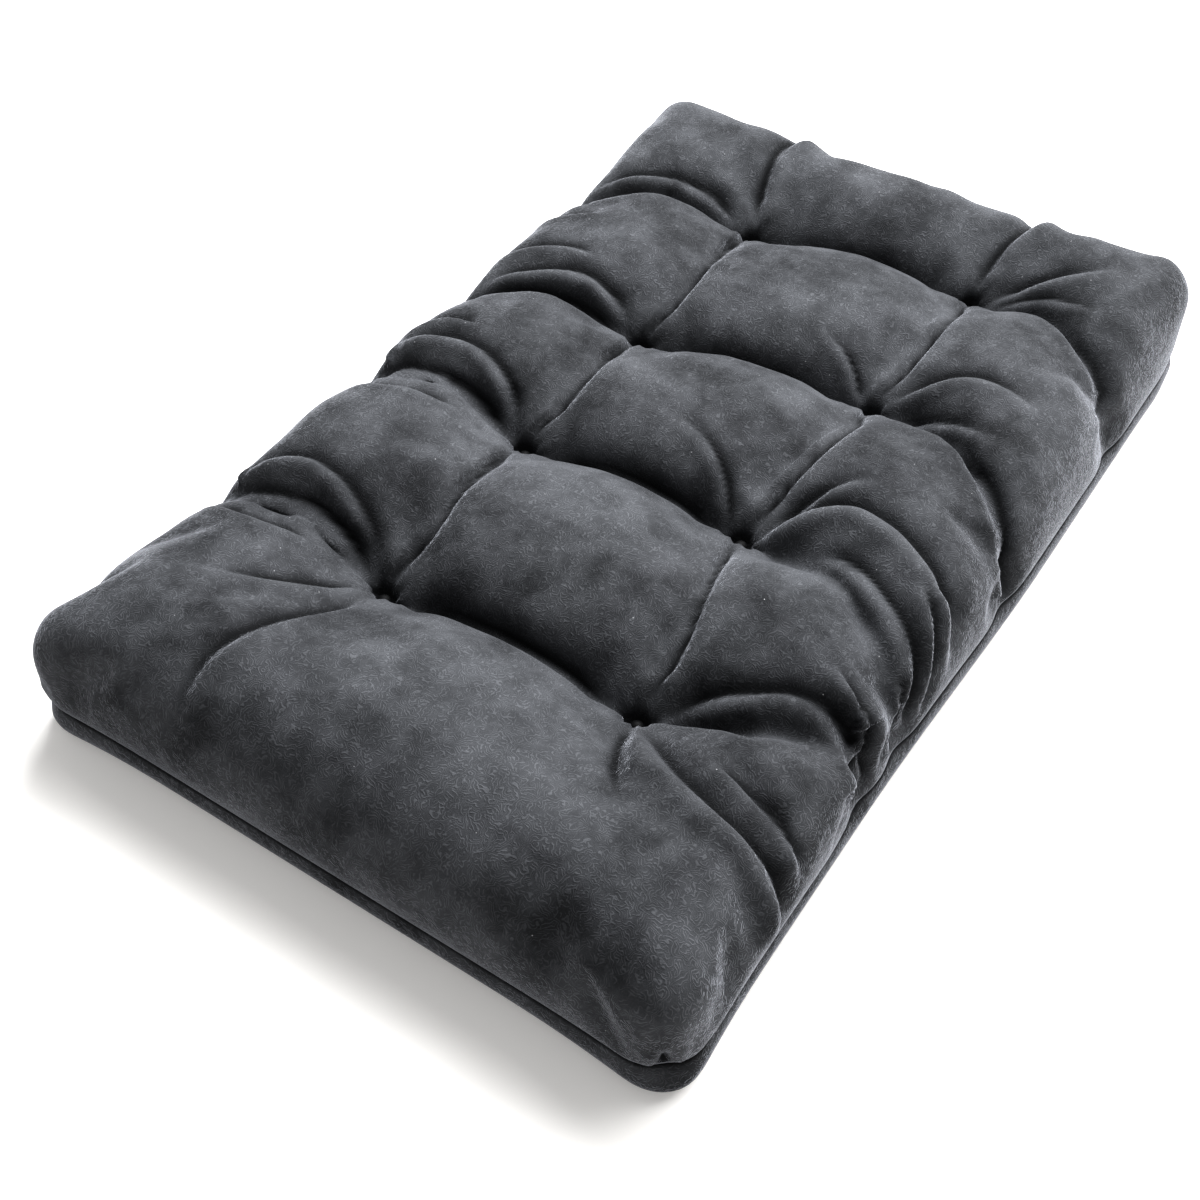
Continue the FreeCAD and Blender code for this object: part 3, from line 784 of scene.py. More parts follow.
    def build_bottom(self) -> bpy.types.Object:
        """The shallow bottom panel: a rolled lip up to the seam, and the underside.

        Returns:
            The panel.
        """
        casing = self.casing
        grid, edge = self.underside()
        lips = self.rings[casing.top_rows:-1]
        parts = [grid]
        count = len(grid)
        rings = []
        grid[edge] = self.points[self.rings[-1]]
        for ring in lips[::-1]:
            parts.append(self.points[ring])
            rings.append(list(range(count, count + len(ring))))
            count += len(ring)
        parts.append(self.turned_ring(-0.0005))
        last = list(range(count, count + len(edge)))
        chain = [edge] + rings + [last]
        faces = [turned_over(face) for face in grid_faces(*casing.counts())]
        size = len(edge)
        for lower, upper in zip(chain, chain[1:]):
            faces += [(lower[k], lower[(k + 1) % size], upper[(k + 1) % size], upper[k]) for k in range(size)]
        return self.shell("plush_bottom_panel", np.vstack(parts), faces, last, rings[-1], -1.0, ())

    def cuffs(self, points: np.ndarray) -> np.ndarray:
        """The puckered cuff of fabric that closes up round each tuft and half hides its button.

        Args:
            points: points on the top panel.

        Returns:
            How far each is raised.
        """
        dice = np.random.default_rng(self.casing.seed)
        lift = np.zeros(len(points))
        for cx, cy in self.casing.tufts.centres():
            gap = np.hypot(points[:, 0] - cx, points[:, 1] - cy)
            turn = np.arctan2(points[:, 1] - cy, points[:, 0] - cx)
            pucker = np.sin(9 * turn + dice.uniform(0, 6.0) + 0.8 * np.sin(2 * turn + dice.uniform(0, 6.0)))
            ring = smooth(self.button_rim, 0.020, gap) * (1.0 - smooth(0.024, 0.055, gap))
            lift += ring * (self.cuff + 0.0022 * pucker * (1.0 - smooth(0.020, 0.040, gap)))
        return lift

    def shell(self, name: str, points: np.ndarray, faces: list, rim: list[int], fold: list[int],
              way: float, folds: tuple[Fold, ...]) -> bpy.types.Object:
        """Turns one open surface into a closed shell of fabric.

        Args:
            name: the piece's name.
            points: the surface's points.
            faces: its faces, facing outwards.
            rim: its open edge, in order.
            fold: the ring where the seam edge turns in.
            way: 1 where the fabric's inner side lies above its seam edge, -1 where it lies below.
            folds: the folds pressed into it.

        Returns:
            The shell.
        """
        outer = new_piece(name, points, faces)
        mark_fold(outer.data, fold, 0.75)
        outer.modifiers.new("round", "SUBSURF").levels = 1
        seen = outer.evaluated_get(bpy.context.evaluated_depsgraph_get())
        fine = read_points(seen.data.vertices)
        fine_faces = [tuple(face.vertices) for face in seen.data.polygons]
        fine_normals = read_points(seen.data.vertices, "normal")
        normals = read_points(outer.data.vertices, "normal")
        tree = BVHTree.FromPolygons(points.tolist(), faces)
        moves, limits, painted_shade = np.zeros(len(fine)), np.zeros(len(points)), np.zeros(len(fine))
        for fold_line in folds:
            laid = fold_line.trace(tree)
            move, _, fold_shade = fold_line.press(fine, fine_normals, laid)
            moves += move
            painted_shade = np.maximum(painted_shade, fold_shade)
            limits += fold_line.press(points, normals, laid)[1]
        if folds:
            moves += self.cuffs(fine)
            # Painted shade darkens the pile round each tuft's pit.
            for cx, cy in self.casing.tufts.centres():
                gap = np.hypot(fine[:, 0] - cx, fine[:, 1] - cy)
                painted_shade = np.maximum(painted_shade, np.exp(-(gap / 0.022) ** 2))
        free = smooth(self.casing.seam_height + 0.001, self.casing.seam_height + 0.012, fine[:, 2])
        fine = fine + fine_normals * (moves * free)[:, None]
        inner = points + normals * (limits - self.fabric)[:, None]
        if folds:
            self.lining = inner.copy()
        inner[rim] = points[rim]
        inner[rim, 2] += self.fabric * way
        base = len(fine)
        middles = between(fine_faces, set(rim), len(points))
        closing = []
        size = len(rim)
        for k in range(size):
            a, b = rim[k], rim[(k + 1) % size]
            middle = middles[frozenset((a, b))]
            closing += [(a, base + a, middle), (middle, base + a, base + b, b)]
        inside = [tuple(base + v for v in face[::-1]) for face in faces]
        bpy.data.objects.remove(outer)
        piece = new_piece(name, np.vstack([fine, inner]), fine_faces + inside + closing)
        close_normals(piece.data)
        # Painted shade darkens the pile along the seam's groove on the walls.
        seam = np.exp(-(np.abs(fine[:, 2] - self.casing.seam_height) / 0.0035) ** 2)
        wall = 1.0 - smooth(0.040, 0.060, self.casing.half_width - np.abs(fine[:, 0]))
        wall = np.maximum(wall, 1.0 - smooth(0.040, 0.060, self.casing.half_length - np.abs(fine[:, 1])))
        # Stored on the mesh as painted shade for the pile material.
        marks = piece.data.attributes.new(PAINTED_SHADE_ATTRIBUTE, "FLOAT", "POINT")
        values = np.concatenate([np.maximum(painted_shade, 0.9 * seam * wall), np.zeros(len(inner))])
        marks.data.foreach_set("value", values)
        return piece


# Values that many of the folds share.
RIGHT: dict[str, float] = {"roll": -1.0}
ROW: dict[str, float] = {"depth": 0.010, "width": 0.009, "roll": -1.0, "ends": 0.25}
COLUMN: dict[str, float] = {"depth": 0.009, "width": 0.005, "starts": 0.15, "ends": 0.15}
LEFT_MAIN: dict[str, float] = {"depth": 0.012, "width": 0.010, "starts": 0.2, "ends": 0.40}
LEFT_SMALL: dict[str, float] = {"depth": 0.006, "width": 0.007}
FOLDS = (
    # Left long edge, foot tuft to head tuft.
    Fold(((-0.15, -0.316), (-0.205, -0.3), (-0.262, -0.296), (-0.32, -0.305), (-0.362, -0.322, 0.11),
          (-0.375, -0.33, 0.07)), **LEFT_MAIN),
    Fold(((-0.155, -0.306), (-0.19, -0.278), (-0.245, -0.255), (-0.3, -0.25), (-0.345, -0.272),
          (-0.37, -0.3, 0.1)), depth=0.01, ends=0.3),
    Fold(((-0.215, -0.33), (-0.27, -0.342), (-0.325, -0.345), (-0.362, -0.338, 0.115)), **LEFT_SMALL),
    Fold(((-0.16, -0.062), (-0.215, -0.052), (-0.275, -0.05), (-0.33, -0.062), (-0.363, -0.085, 0.11),
          (-0.375, -0.095, 0.07)), **LEFT_MAIN),
    Fold(((-0.162, -0.052), (-0.205, -0.02), (-0.262, 0.0), (-0.32, -0.008),
          (-0.362, -0.04, 0.11)), depth=0.01, ends=0.3),
    Fold(((-0.27, 0.028), (-0.315, 0.03), (-0.352, 0.01), (-0.37, -0.012, 0.1)), depth=0.006, width=0.006, roll=0.6),
    Fold(((-0.22, -0.085), (-0.275, -0.098), (-0.33, -0.108), (-0.362, -0.11, 0.11)), **LEFT_SMALL),
    Fold(((-0.158, 0.162), (-0.205, 0.16), (-0.262, 0.145), (-0.318, 0.118), (-0.362, 0.08, 0.11),
          (-0.375, 0.066, 0.07)), **LEFT_MAIN),
    Fold(((-0.158, 0.174), (-0.205, 0.19), (-0.262, 0.182), (-0.318, 0.152),
          (-0.36, 0.112, 0.112)), depth=0.009, ends=0.3),
    Fold(((-0.23, 0.215), (-0.285, 0.215), (-0.335, 0.19), (-0.366, 0.16, 0.105)), **LEFT_SMALL),
    Fold(((-0.158, 0.418), (-0.21, 0.405), (-0.265, 0.385), (-0.32, 0.35), (-0.362, 0.315, 0.11),
          (-0.375, 0.3, 0.07)), **LEFT_MAIN),
    Fold(((-0.158, 0.43), (-0.215, 0.438), (-0.275, 0.425), (-0.33, 0.392),
          (-0.364, 0.36, 0.108)), depth=0.009, ends=0.3),
    Fold(((-0.29, 0.3), (-0.335, 0.275), (-0.366, 0.25, 0.105)), **LEFT_SMALL),
    # Right long edge.
    Fold(((0.172, -0.31), (0.205, -0.285), (0.245, -0.262), (0.29, -0.245), (0.335, -0.248),
          (0.368, -0.262, 0.1), (0.377, -0.272, 0.06)), depth=0.013, width=0.009, starts=0.2, ends=0.12, **RIGHT),
    Fold(((0.18, -0.322), (0.215, -0.312), (0.26, -0.305), (0.3, -0.312)), depth=0.009, ends=0.45, **RIGHT),
    Fold(((0.172, -0.334), (0.205, -0.358), (0.245, -0.385), (0.29, -0.402), (0.34, -0.412),
          (0.37, -0.425, 0.095), (0.377, -0.432, 0.06)), depth=0.012, width=0.009, ends=0.15, **RIGHT),
    Fold(((0.255, -0.355), (0.3, -0.366), (0.345, -0.378),
          (0.372, -0.395, 0.09)), depth=0.008, width=0.007, ends=0.25, **RIGHT),
    Fold(((0.29, -0.2), (0.33, -0.215), (0.362, -0.24, 0.11),
          (0.377, -0.262, 0.06)), depth=0.008, width=0.006, ends=0.2, **RIGHT),
    Fold(((0.132, -0.05), (0.17, -0.02), (0.218, 0.0), (0.27, -0.012), (0.325, -0.04), (0.362, -0.075, 0.112),
          (0.377, -0.1, 0.07)), depth=0.015, width=0.01, starts=0.15, ends=0.25, **RIGHT),
    Fold(((0.135, -0.042), (0.162, -0.005), (0.195, 0.028), (0.235, 0.04)), depth=0.009, ends=0.5, **RIGHT),
    Fold(((0.19, -0.062), (0.24, -0.066), (0.292, -0.09), (0.338, -0.122), (0.366, -0.152, 0.105),
          (0.377, -0.182, 0.06)), depth=0.011, width=0.008, ends=0.15, **RIGHT),
    Fold(((0.315, -0.062), (0.348, -0.092), (0.37, -0.128, 0.095),
          (0.377, -0.15, 0.06)), depth=0.008, width=0.006, ends=0.2, **RIGHT),
    Fold(((0.345, -0.16), (0.368, -0.182, 0.095),
          (0.377, -0.2, 0.055)), depth=0.008, width=0.005, ends=0.15, **RIGHT),
    Fold(((0.155, 0.192), (0.198, 0.17), (0.248, 0.152), (0.295, 0.128), (0.34, 0.088), (0.368, 0.055, 0.095),
          (0.377, 0.045, 0.045)), depth=0.015, width=0.01, starts=0.15, ends=0.08, **RIGHT),
    Fold(((0.16, 0.2), (0.21, 0.196), (0.262, 0.184), (0.31, 0.164)), depth=0.009, ends=0.45, **RIGHT),
    Fold(((0.152, 0.212), (0.186, 0.24), (0.232, 0.256), (0.285, 0.246),
          (0.33, 0.222)), depth=0.008, ends=0.4, **RIGHT),
    Fold(((0.158, 0.448), (0.21, 0.436), (0.262, 0.414), (0.315, 0.382), (0.358, 0.34, 0.115),
          (0.375, 0.312, 0.07)), depth=0.01, width=0.009, ends=0.3, **RIGHT),
    Fold(((0.158, 0.462), (0.205, 0.478), (0.255, 0.5), (0.31, 0.528)), depth=0.011, width=0.009, ends=0.5, **RIGHT),
    Fold(((0.165, 0.452), (0.215, 0.458), (0.268, 0.452),
          (0.318, 0.438)), depth=0.006, width=0.006, ends=0.45, **RIGHT),
    # The rows between tufts.
    Fold(((-0.128, -0.323), (-0.07, -0.318), (0.01, -0.315), (0.085, -0.314), (0.15, -0.318)), **ROW),
    Fold(((-0.14, -0.066), (-0.085, -0.06), (-0.015, -0.056), (0.06, -0.054), (0.11, -0.057)), **ROW),
    Fold(((0.105, -0.048), (0.07, -0.012), (0.02, 0.014),
          (-0.04, 0.022)), depth=0.007, width=0.007, starts=0.2, ends=0.6),
    Fold(((-0.135, 0.161), (-0.075, 0.172), (0.0, 0.184), (0.075, 0.193), (0.13, 0.199)), **ROW),
    Fold(((0.125, 0.212), (0.085, 0.238), (0.035, 0.25)), depth=0.006, width=0.006, starts=0.2, ends=0.6),
    Fold(((-0.135, 0.423), (-0.075, 0.431), (0.0, 0.44), (0.075, 0.447),
          (0.135, 0.451)), depth=0.009, width=0.009, starts=0.25, ends=0.25, **RIGHT),
    # Foot and head ends.
    Fold(((-0.142, -0.338), (-0.14, -0.4), (-0.158, -0.46), (-0.17, -0.515), (-0.168, -0.56),
          (-0.16, -0.59, 0.09)), depth=0.008, width=0.01, ends=0.45),
    Fold(((-0.152, -0.336), (-0.185, -0.38), (-0.23, -0.42), (-0.285, -0.445)), depth=0.007, ends=0.5),
    Fold(((0.165, -0.335), (0.18, -0.38), (0.208, -0.425), (0.248, -0.465)), depth=0.01, width=0.008, ends=0.5),
    Fold(((-0.148, 0.436), (-0.165, 0.485), (-0.172, 0.535),
          (-0.166, 0.58, 0.11)), depth=0.01, width=0.009, ends=0.3, **RIGHT),
    Fold(((0.146, 0.466), (0.15, 0.51), (0.162, 0.55),
          (0.168, 0.586, 0.1)), depth=0.01, width=0.009, ends=0.3, **RIGHT),
    # The columns between tufts.
    Fold(((-0.142, -0.312), (-0.132, -0.25), (-0.142, -0.19), (-0.15, -0.13), (-0.15, -0.08)), **COLUMN),
    Fold(((-0.15, -0.055), (-0.138, -0.005), (-0.14, 0.055), (-0.148, 0.105), (-0.146, 0.148)), **COLUMN),
    Fold(((-0.145, 0.172), (-0.132, 0.23), (-0.136, 0.3), (-0.146, 0.36), (-0.145, 0.41)), **COLUMN),
    Fold(((0.158, -0.306), (0.16, -0.25), (0.148, -0.19), (0.132, -0.13), (0.122, -0.07)), **COLUMN),
    Fold(((0.122, -0.045), (0.132, 0.005), (0.142, 0.06), (0.146, 0.12), (0.141, 0.188)), **COLUMN),
    Fold(((0.141, 0.212), (0.15, 0.265), (0.156, 0.325), (0.152, 0.385), (0.146, 0.44)), **COLUMN),
)


def between(faces: list[tuple], rim: set[int], coarse: int) -> dict[frozenset, int]:
    """Finds, on a surface divided once, the new vertex in the middle of each open edge.

    Args:
        faces: the divided faces.
        rim: vertex numbers of the open edge before dividing.
        coarse: how many vertices there were before dividing.

    Returns:
        The new vertex for each pair of rim vertices.
    """
    uses: dict[frozenset, int] = {}
    for face in faces:
        for a, b in zip(face, face[1:] + face[:1]):
            pair = frozenset((a, b))
            uses[pair] = uses.get(pair, 0) + 1
    ends: dict[int, list[int]] = {}
    for pair, count in uses.items():
        if count == 1:
            old = [v for v in pair if v < coarse]
            new = [v for v in pair if v >= coarse]
            if old and new and old[0] in rim:
                ends.setdefault(new[0], []).append(old[0])
    return {frozenset(pair): middle for middle, pair in ends.items() if len(pair) == 2}


def new_piece(name: str, points: np.ndarray, faces: list) -> bpy.types.Object:
    """Makes a smooth mesh object and links it to the scene.

    Args:
        name: its name.
        points: its vertices.
        faces: its faces.

    Returns:
        The object.
    """
    mesh = bpy.data.meshes.new(name)
    mesh.from_pydata(points.tolist(), [], faces)
    mesh.polygons.foreach_set("use_smooth", [True] * len(mesh.polygons))
    mesh.update()
    piece = bpy.data.objects.new(name, mesh)
    bpy.context.scene.collection.objects.link(piece)
    return piece


def mark_fold(mesh: bpy.types.Mesh, ring: list[int], sharpness: float) -> None:
    """Marks a ring of edges as a fold that stays crisp when the mesh is rounded.

    Args:
        mesh: the mesh.
        ring: the vertices along the fold, in order.
        sharpness: how crisp the fold stays, from 0 to 1.
    """
    folded = {frozenset((a, b)) for a, b in zip(ring, ring[1:] + ring[:1])}
    marks = mesh.attributes.new("crease_edge", "FLOAT", "EDGE")
    values = [sharpness if frozenset(edge.vertices) in folded else 0.0 for edge in mesh.edges]
    marks.data.foreach_set("value", values)


def close_normals(mesh: bpy.types.Mesh) -> None:
    """Turns every face of a closed mesh outwards.

    Args:
        mesh: the mesh, changed in place.
    """
    work = bmesh.new()
    work.from_mesh(mesh)
    bmesh.ops.recalc_face_normals(work, faces=work.faces)
    work.to_mesh(mesh)
    work.free()


@dataclass
class Filling:
    """The felt core and the four loose batts, lofted between the underside and the swollen top."""

    panels: Panels
    every: int = 3
    gap: float = 0.004
    layers: tuple[tuple[str, float, float], ...] = (
        ("lower_outer_batt", 0.00, 0.13), ("lower_inner_batt", 0.135, 0.27), ("core_pad", 0.275, 0.46),
        ("upper_inner_batt", 0.465, 0.74), ("upper_outer_batt", 0.745, 1.00))

    def surfaces(self) -> tuple[np.ndarray, np.ndarray, int, int]:
        """The lower and upper limits of the filling, on one thinned grid.

        Returns:
            The lower limits, the upper limits, and how many columns and rows they have.
        """
        casing = self.panels.casing
        nx, ny = casing.counts()
        total = (nx + 1) * (ny + 1)
        high = self.panels.lining[:total].reshape(ny + 1, nx + 1, 3)
        low = self.panels.underside()[0].reshape(ny + 1, nx + 1, 3)
        columns = sorted(set(list(range(1, nx, self.every)) + [nx - 1]))
        rows = sorted(set(list(range(1, ny, self.every)) + [ny - 1]))
        top = high.copy()
        for axis in (0, 1):
            lowest = top[..., 2].copy()
            for step in (-3, -2, -1, 1, 2, 3):
                lowest = np.minimum(lowest, np.roll(top[..., 2], step, axis))
            top[..., 2] = lowest
        top[..., 2] -= self.gap
        top[..., :2] *= 0.985
        bottom = low.copy()
        bottom[..., 2] += self.gap
        return bottom[np.ix_(rows, columns)], top[np.ix_(rows, columns)], len(columns), len(rows)

    def build(self) -> list[bpy.types.Object]:
        """Every layer, from the floor up.

        Returns:
            The layers.
        """
        bottom, top, wide, long = self.surfaces()
        pieces = []
        for node, start, end in self.layers:
            lower = (bottom + (top - bottom) * start).reshape(-1, 3)
            upper = (bottom + (top - bottom) * end).reshape(-1, 3)
            count = len(lower)
            faces = []
            for face in grid_faces(wide - 1, long - 1):
                faces += [turned_over(face), tuple(count + vertex for vertex in face)]
            rim = [j * wide + i for i, j in grid_rim(wide - 1, long - 1)]
            faces += [(a, b, count + b, count + a) for a, b in zip(rim, rim[1:] + rim[:1])]
            piece = new_piece("lofted_" + node, np.vstack([lower, upper]), faces)
            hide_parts(node)
            pieces.append(piece)
        return pieces


class Graph:
    """A short way to add and wire shader nodes in one tree."""

    def __init__(self, tree: bpy.types.NodeTree) -> None:
        """Keeps the tree to add nodes to."""
        self.tree = tree

    def add(self, kind: str, values: dict | None = None, **settings: object) -> bpy.types.Node:
        """Adds a node.

        Args:
            kind: the node's type.
            values: what goes into its input sockets, by name or number: a value, or a socket to wire in.
            settings: the node's own settings.

        Returns:
            The node.
        """
        node = self.tree.nodes.new(kind)
        for name, setting in settings.items():
            setattr(node, name, setting)
        for key, value in (values or {}).items():
            if isinstance(value, bpy.types.NodeSocket):
                self.tree.links.new(value, node.inputs[key])
            else:
                node.inputs[key].default_value = value
        return node

    def maths(self, operation: str, *terms: object) -> bpy.types.NodeSocket:
        """A sum, product or other maths on values."""
        return self.add("ShaderNodeMath", dict(enumerate(terms)), operation=operation).outputs[0]

    def vectors(self, operation: str, *terms: object, output: int = 0) -> bpy.types.NodeSocket:
        """Maths on vectors."""
        return self.add("ShaderNodeVectorMath", dict(enumerate(terms)), operation=operation).outputs[output]

    def spread(self, value: object, low: float, high: float, to_low: float, to_high: float) -> bpy.types.NodeSocket:
        """Stretches a value from one range to another, with soft ends.

        Args:
            value: the value.
            low: where it starts to rise.
            high: where it stops.
            to_low: what it gives at and below low.
            to_high: what it gives at and above high.

        Returns:
            The stretched value.
        """
        node = self.add("ShaderNodeMapRange", {0: value, 1: low, 2: high, 3: to_low, 4: to_high},
                        interpolation_type="SMOOTHSTEP")
        return node.outputs[0]

    def blend(self, share: object, first: object, second: object) -> bpy.types.NodeSocket:
        """Mixes two colours."""
        node = self.add("ShaderNodeMix", {0: share, 6: first, 7: second}, data_type="RGBA")
        return node.outputs[2]


@dataclass
class Socket:
    """One input or output of a shader group."""

    name: str
    kind: str
    value: object = None


def new_group(name: str, takes: list[Socket], gives: list[Socket]) -> tuple[Graph, bpy.types.Node, bpy.types.Node]:
    """Makes an empty shader group with named inputs and outputs.

    Args:
        name: its name.
        takes: its inputs.
        gives: its outputs.

    Returns:
        The graph to fill in, and the nodes that hold the inputs and the outputs.
    """
    tree = bpy.data.node_groups.new(name, "ShaderNodeTree")
    for way, sockets in (("INPUT", takes), ("OUTPUT", gives)):
        for socket in sockets:
            made = tree.interface.new_socket(socket.name, in_out=way, socket_type="NodeSocket" + socket.kind)
            if socket.value is not None:
                made.default_value = socket.value
    graph = Graph(tree)
    return graph, graph.add("NodeGroupInput"), graph.add("NodeGroupOutput")


def strokes(graph: Graph, place: bpy.types.NodeSocket, size: object, pitch: object) -> bpy.types.NodeSocket:
    """Fine parallel brush marks whose direction changes from patch to patch.

    Args:
        graph: where the nodes go.
        place: the place on the fabric.
        size: how many patches there are to a metre.
        pitch: how many marks there are to a metre, in radians.

    Returns:
        A value near 1 on a mark and 0 between marks.
    """
    patch = graph.add("ShaderNodeTexVoronoi", {"Vector": place, "Scale": size})
    local = graph.vectors("SUBTRACT", place, patch.outputs["Position"])
    lean = graph.vectors("NORMALIZE", graph.vectors("SUBTRACT", patch.outputs["Color"], (0.5, 0.5, 0.5)))
    along = graph.vectors("DOT_PRODUCT", local, lean, output=1)
    wave = graph.maths("SINE", graph.maths("MULTIPLY", along, pitch))
    mark = graph.spread(wave, 0.0, 1.0, 0.0, 1.0)
    return graph.maths("MULTIPLY", mark, graph.spread(patch.outputs["Distance"], 0.45, 0.85, 1.0, 0.15))


class Groups:
    """The shader groups that more than one finish uses, each built once."""

    def __init__(self) -> None:
        """Builds every group."""
        self.pile = self.make_pile()
        self.fibres = self.make_fibres()

    def make_pile(self) -> bpy.types.NodeTree:
        """Brushed pile: curved marks, patches where the pile lies down, specks of lint, and painted shade that turns
        the pile to its deep colour.

        Returns:
            The group.
        """
        takes = [Socket("Vector", "Vector"), Socket("Deep", "Color", (0.03, 0.03, 0.03, 1)),
                 Socket("Raised", "Color", (0.12, 0.12, 0.12, 1)), Socket("Patches", "Float", 140.0),
                 Socket("Marks", "Float", 2550.0), Socket("Crush", "Float", 24.0), Socket("Lint", "Float", 1.0),
                 Socket("PaintedShade", "Float", 0.0)]
        gives = [Socket("Color", "Color"), Socket("Height", "Float"), Socket("Roughness", "Float")]
        graph, takes_node, gives_node = new_group("brushed_pile", takes, gives)
        given = takes_node.outputs
        bend = graph.add("ShaderNodeTexNoise", {"Vector": given["Vector"], "Scale": 105.0, "Detail": 1.0})
        sway = graph.vectors("SUBTRACT", bend.outputs["Color"], (0.5, 0.5, 0.5))
        swayed = graph.add("ShaderNodeVectorMath", {0: sway, "Scale": 0.013}, operation="SCALE").outputs[0]
        place = graph.vectors("ADD", given["Vector"], swayed)
        marks = strokes(graph, place, given["Patches"], given["Marks"])
        fuzz = graph.add("ShaderNodeTexNoise", {"Vector": given["Vector"], "Scale": 900.0, "Detail": 3.0})
        near = graph.add("ShaderNodeTexNoise", {"Vector": given["Vector"], "Scale": given["Crush"], "Detail": 6.0,
                                                "Roughness": 0.6})
        moved = graph.vectors("ADD", given["Vector"], (0.371, 0.113, 0.237))
        wide_scale = graph.maths("MULTIPLY", given["Crush"], 0.30)
        wide = graph.add("ShaderNodeTexNoise", {"Vector": moved, "Scale": wide_scale, "Detail": 2.0})
        lying = graph.maths("ADD", graph.spread(near.outputs[0], 0.32, 0.68, 0.0, 0.55),
                            graph.spread(wide.outputs[0], 0.35, 0.65, 0.0, 0.45))
        lifted = graph.maths("ADD", graph.maths("MULTIPLY", lying, 0.46),
                             graph.maths("MULTIPLY", marks, graph.spread(lying, 0.0, 1.0, 0.16, 0.34)))
        share = graph.maths("ADD", lifted, graph.maths("MULTIPLY", fuzz.outputs[0], 0.24))
        # Painted shade: the pile turns towards its deep colour where the shade input is high.
        unshaded_share = graph.maths("MULTIPLY", share, graph.spread(given["PaintedShade"], 0.0, 1.0, 1.0, 0.0))
        cloth = graph.blend(unshaded_share, given["Deep"], given["Raised"])
        speck = graph.add("ShaderNodeTexVoronoi", {"Vector": given["Vector"], "Scale": 62.0})
        chance = graph.add("ShaderNodeSeparateColor", {0: speck.outputs["Color"]}).outputs[0]
        dot = graph.maths("MULTIPLY", graph.maths("LESS_THAN", speck.outputs["Distance"], 0.040),
                          graph.maths("GREATER_THAN", chance, 0.78))
        dotted = graph.maths("MULTIPLY", dot, given["Lint"])
        graph.tree.links.new(graph.blend(dotted, cloth, (0.26, 0.26, 0.27, 1)), gives_node.inputs["Color"])
        height = graph.maths("ADD", marks, graph.maths("MULTIPLY", fuzz.outputs[0], 0.5))
        graph.tree.links.new(height, gives_node.inputs["Height"])
        graph.tree.links.new(graph.spread(marks, 0.0, 1.0, 0.95, 0.82), gives_node.inputs["Roughness"])
        return graph.tree

    def make_fibres(self) -> bpy.types.NodeTree:
        """Crossing fibres, for batts, felt, thread and twine.

        Returns:
            The group.
        """
        takes = [Socket("Vector", "Vector"), Socket("Shade", "Color", (0.6, 0.6, 0.6, 1)),
                 Socket("Bright", "Color", (0.9, 0.9, 0.9, 1)), Socket("Fineness", "Float", 300.0)]
        gives = [Socket("Color", "Color"), Socket("Height", "Float")]
        graph, takes_node, gives_node = new_group("crossing_fibres", takes, gives)
        given = takes_node.outputs
        clump = graph.add("ShaderNodeTexNoise", {"Vector": given["Vector"], "Scale": given["Fineness"], "Detail": 4.0,
                                                 "Distortion": 2.5})
        fine_scale = graph.maths("MULTIPLY", given["Fineness"], 6.0)
        fine = graph.add("ShaderNodeTexNoise", {"Vector": given["Vector"], "Scale": fine_scale, "Detail": 3.0,
                                                "Distortion": 4.0})
        total = graph.maths("ADD", graph.maths("MULTIPLY", clump.outputs[0], 0.6),
                            graph.maths("MULTIPLY", fine.outputs[0], 0.4))
        share = graph.spread(total, 0.35, 0.65, 0.0, 1.0)
        graph.tree.links.new(graph.blend(share, given["Shade"], given["Bright"]), gives_node.inputs["Color"])
        graph.tree.links.new(total, gives_node.inputs["Height"])
        return graph.tree


class Weave(Enum):
    """What a finish is made of."""

    PILE = "pile"
    FIBRE = "fibre"


@dataclass(frozen=True)
class Finish:
    """One procedural material."""

    name: str
    weave: Weave
    deep: Colour
    raised: Colour
    roughness: float = 0.9
    sheen: float = 0.0
    sheen_roughness: float = 0.5
    sheen_tint: Colour = (1.0, 1.0, 1.0, 1.0)
    specular: float = 0.25
    bump: float = 0.5
    relief: float = 0.001
    fineness: float = 300.0

    def make(self, groups: Groups) -> bpy.types.Material:
        """Builds the material from the shared groups.

        Args:
            groups: the shared groups.

        Returns:
            The material.
        """
        material = bpy.data.materials.new(self.name)
        material.use_nodes = True
        material.diffuse_color = self.raised
        graph = Graph(material.node_tree)
        shader = material.node_tree.nodes["Principled BSDF"]
        place = graph.add("ShaderNodeTexCoord").outputs["Object"]
        values = {"Vector": place}
        if self.weave is Weave.PILE:
            # The mesh's painted shade darkens the pile in creases, pits and along the seam.
            shade_fac = graph.add("ShaderNodeAttribute", attribute_name=PAINTED_SHADE_ATTRIBUTE).outputs["Fac"]
            values.update({"Deep": self.deep, "Raised": self.raised, "PaintedShade": shade_fac})
            tree = groups.pile
        else:
            values.update({"Shade": self.deep, "Bright": self.raised, "Fineness": self.fineness})
            tree = groups.fibres
        group = graph.tree.nodes.new("ShaderNodeGroup")
        group.node_tree = tree
        for key, value in values.items():
            if isinstance(value, bpy.types.NodeSocket):
                graph.tree.links.new(value, group.inputs[key])
            else:
                group.inputs[key].default_value = value
        graph.tree.links.new(group.outputs["Color"], shader.inputs["Base Color"])
        if self.weave is Weave.PILE:
            graph.tree.links.new(group.outputs["Roughness"], shader.inputs["Roughness"])
        shader.inputs["Roughness"].default_value = self.roughness
        shader.inputs["Specular IOR Level"].default_value = self.specular
        shader.inputs["Sheen Weight"].default_value = self.sheen
        shader.inputs["Sheen Roughness"].default_value = self.sheen_roughness
        shader.inputs["Sheen Tint"].default_value = self.sheen_tint
        bump = graph.add("ShaderNodeBump", {"Height": group.outputs["Height"], "Strength": self.bump,
                                            "Distance": self.relief})
        graph.tree.links.new(bump.outputs[0], shader.inputs["Normal"])
        return material


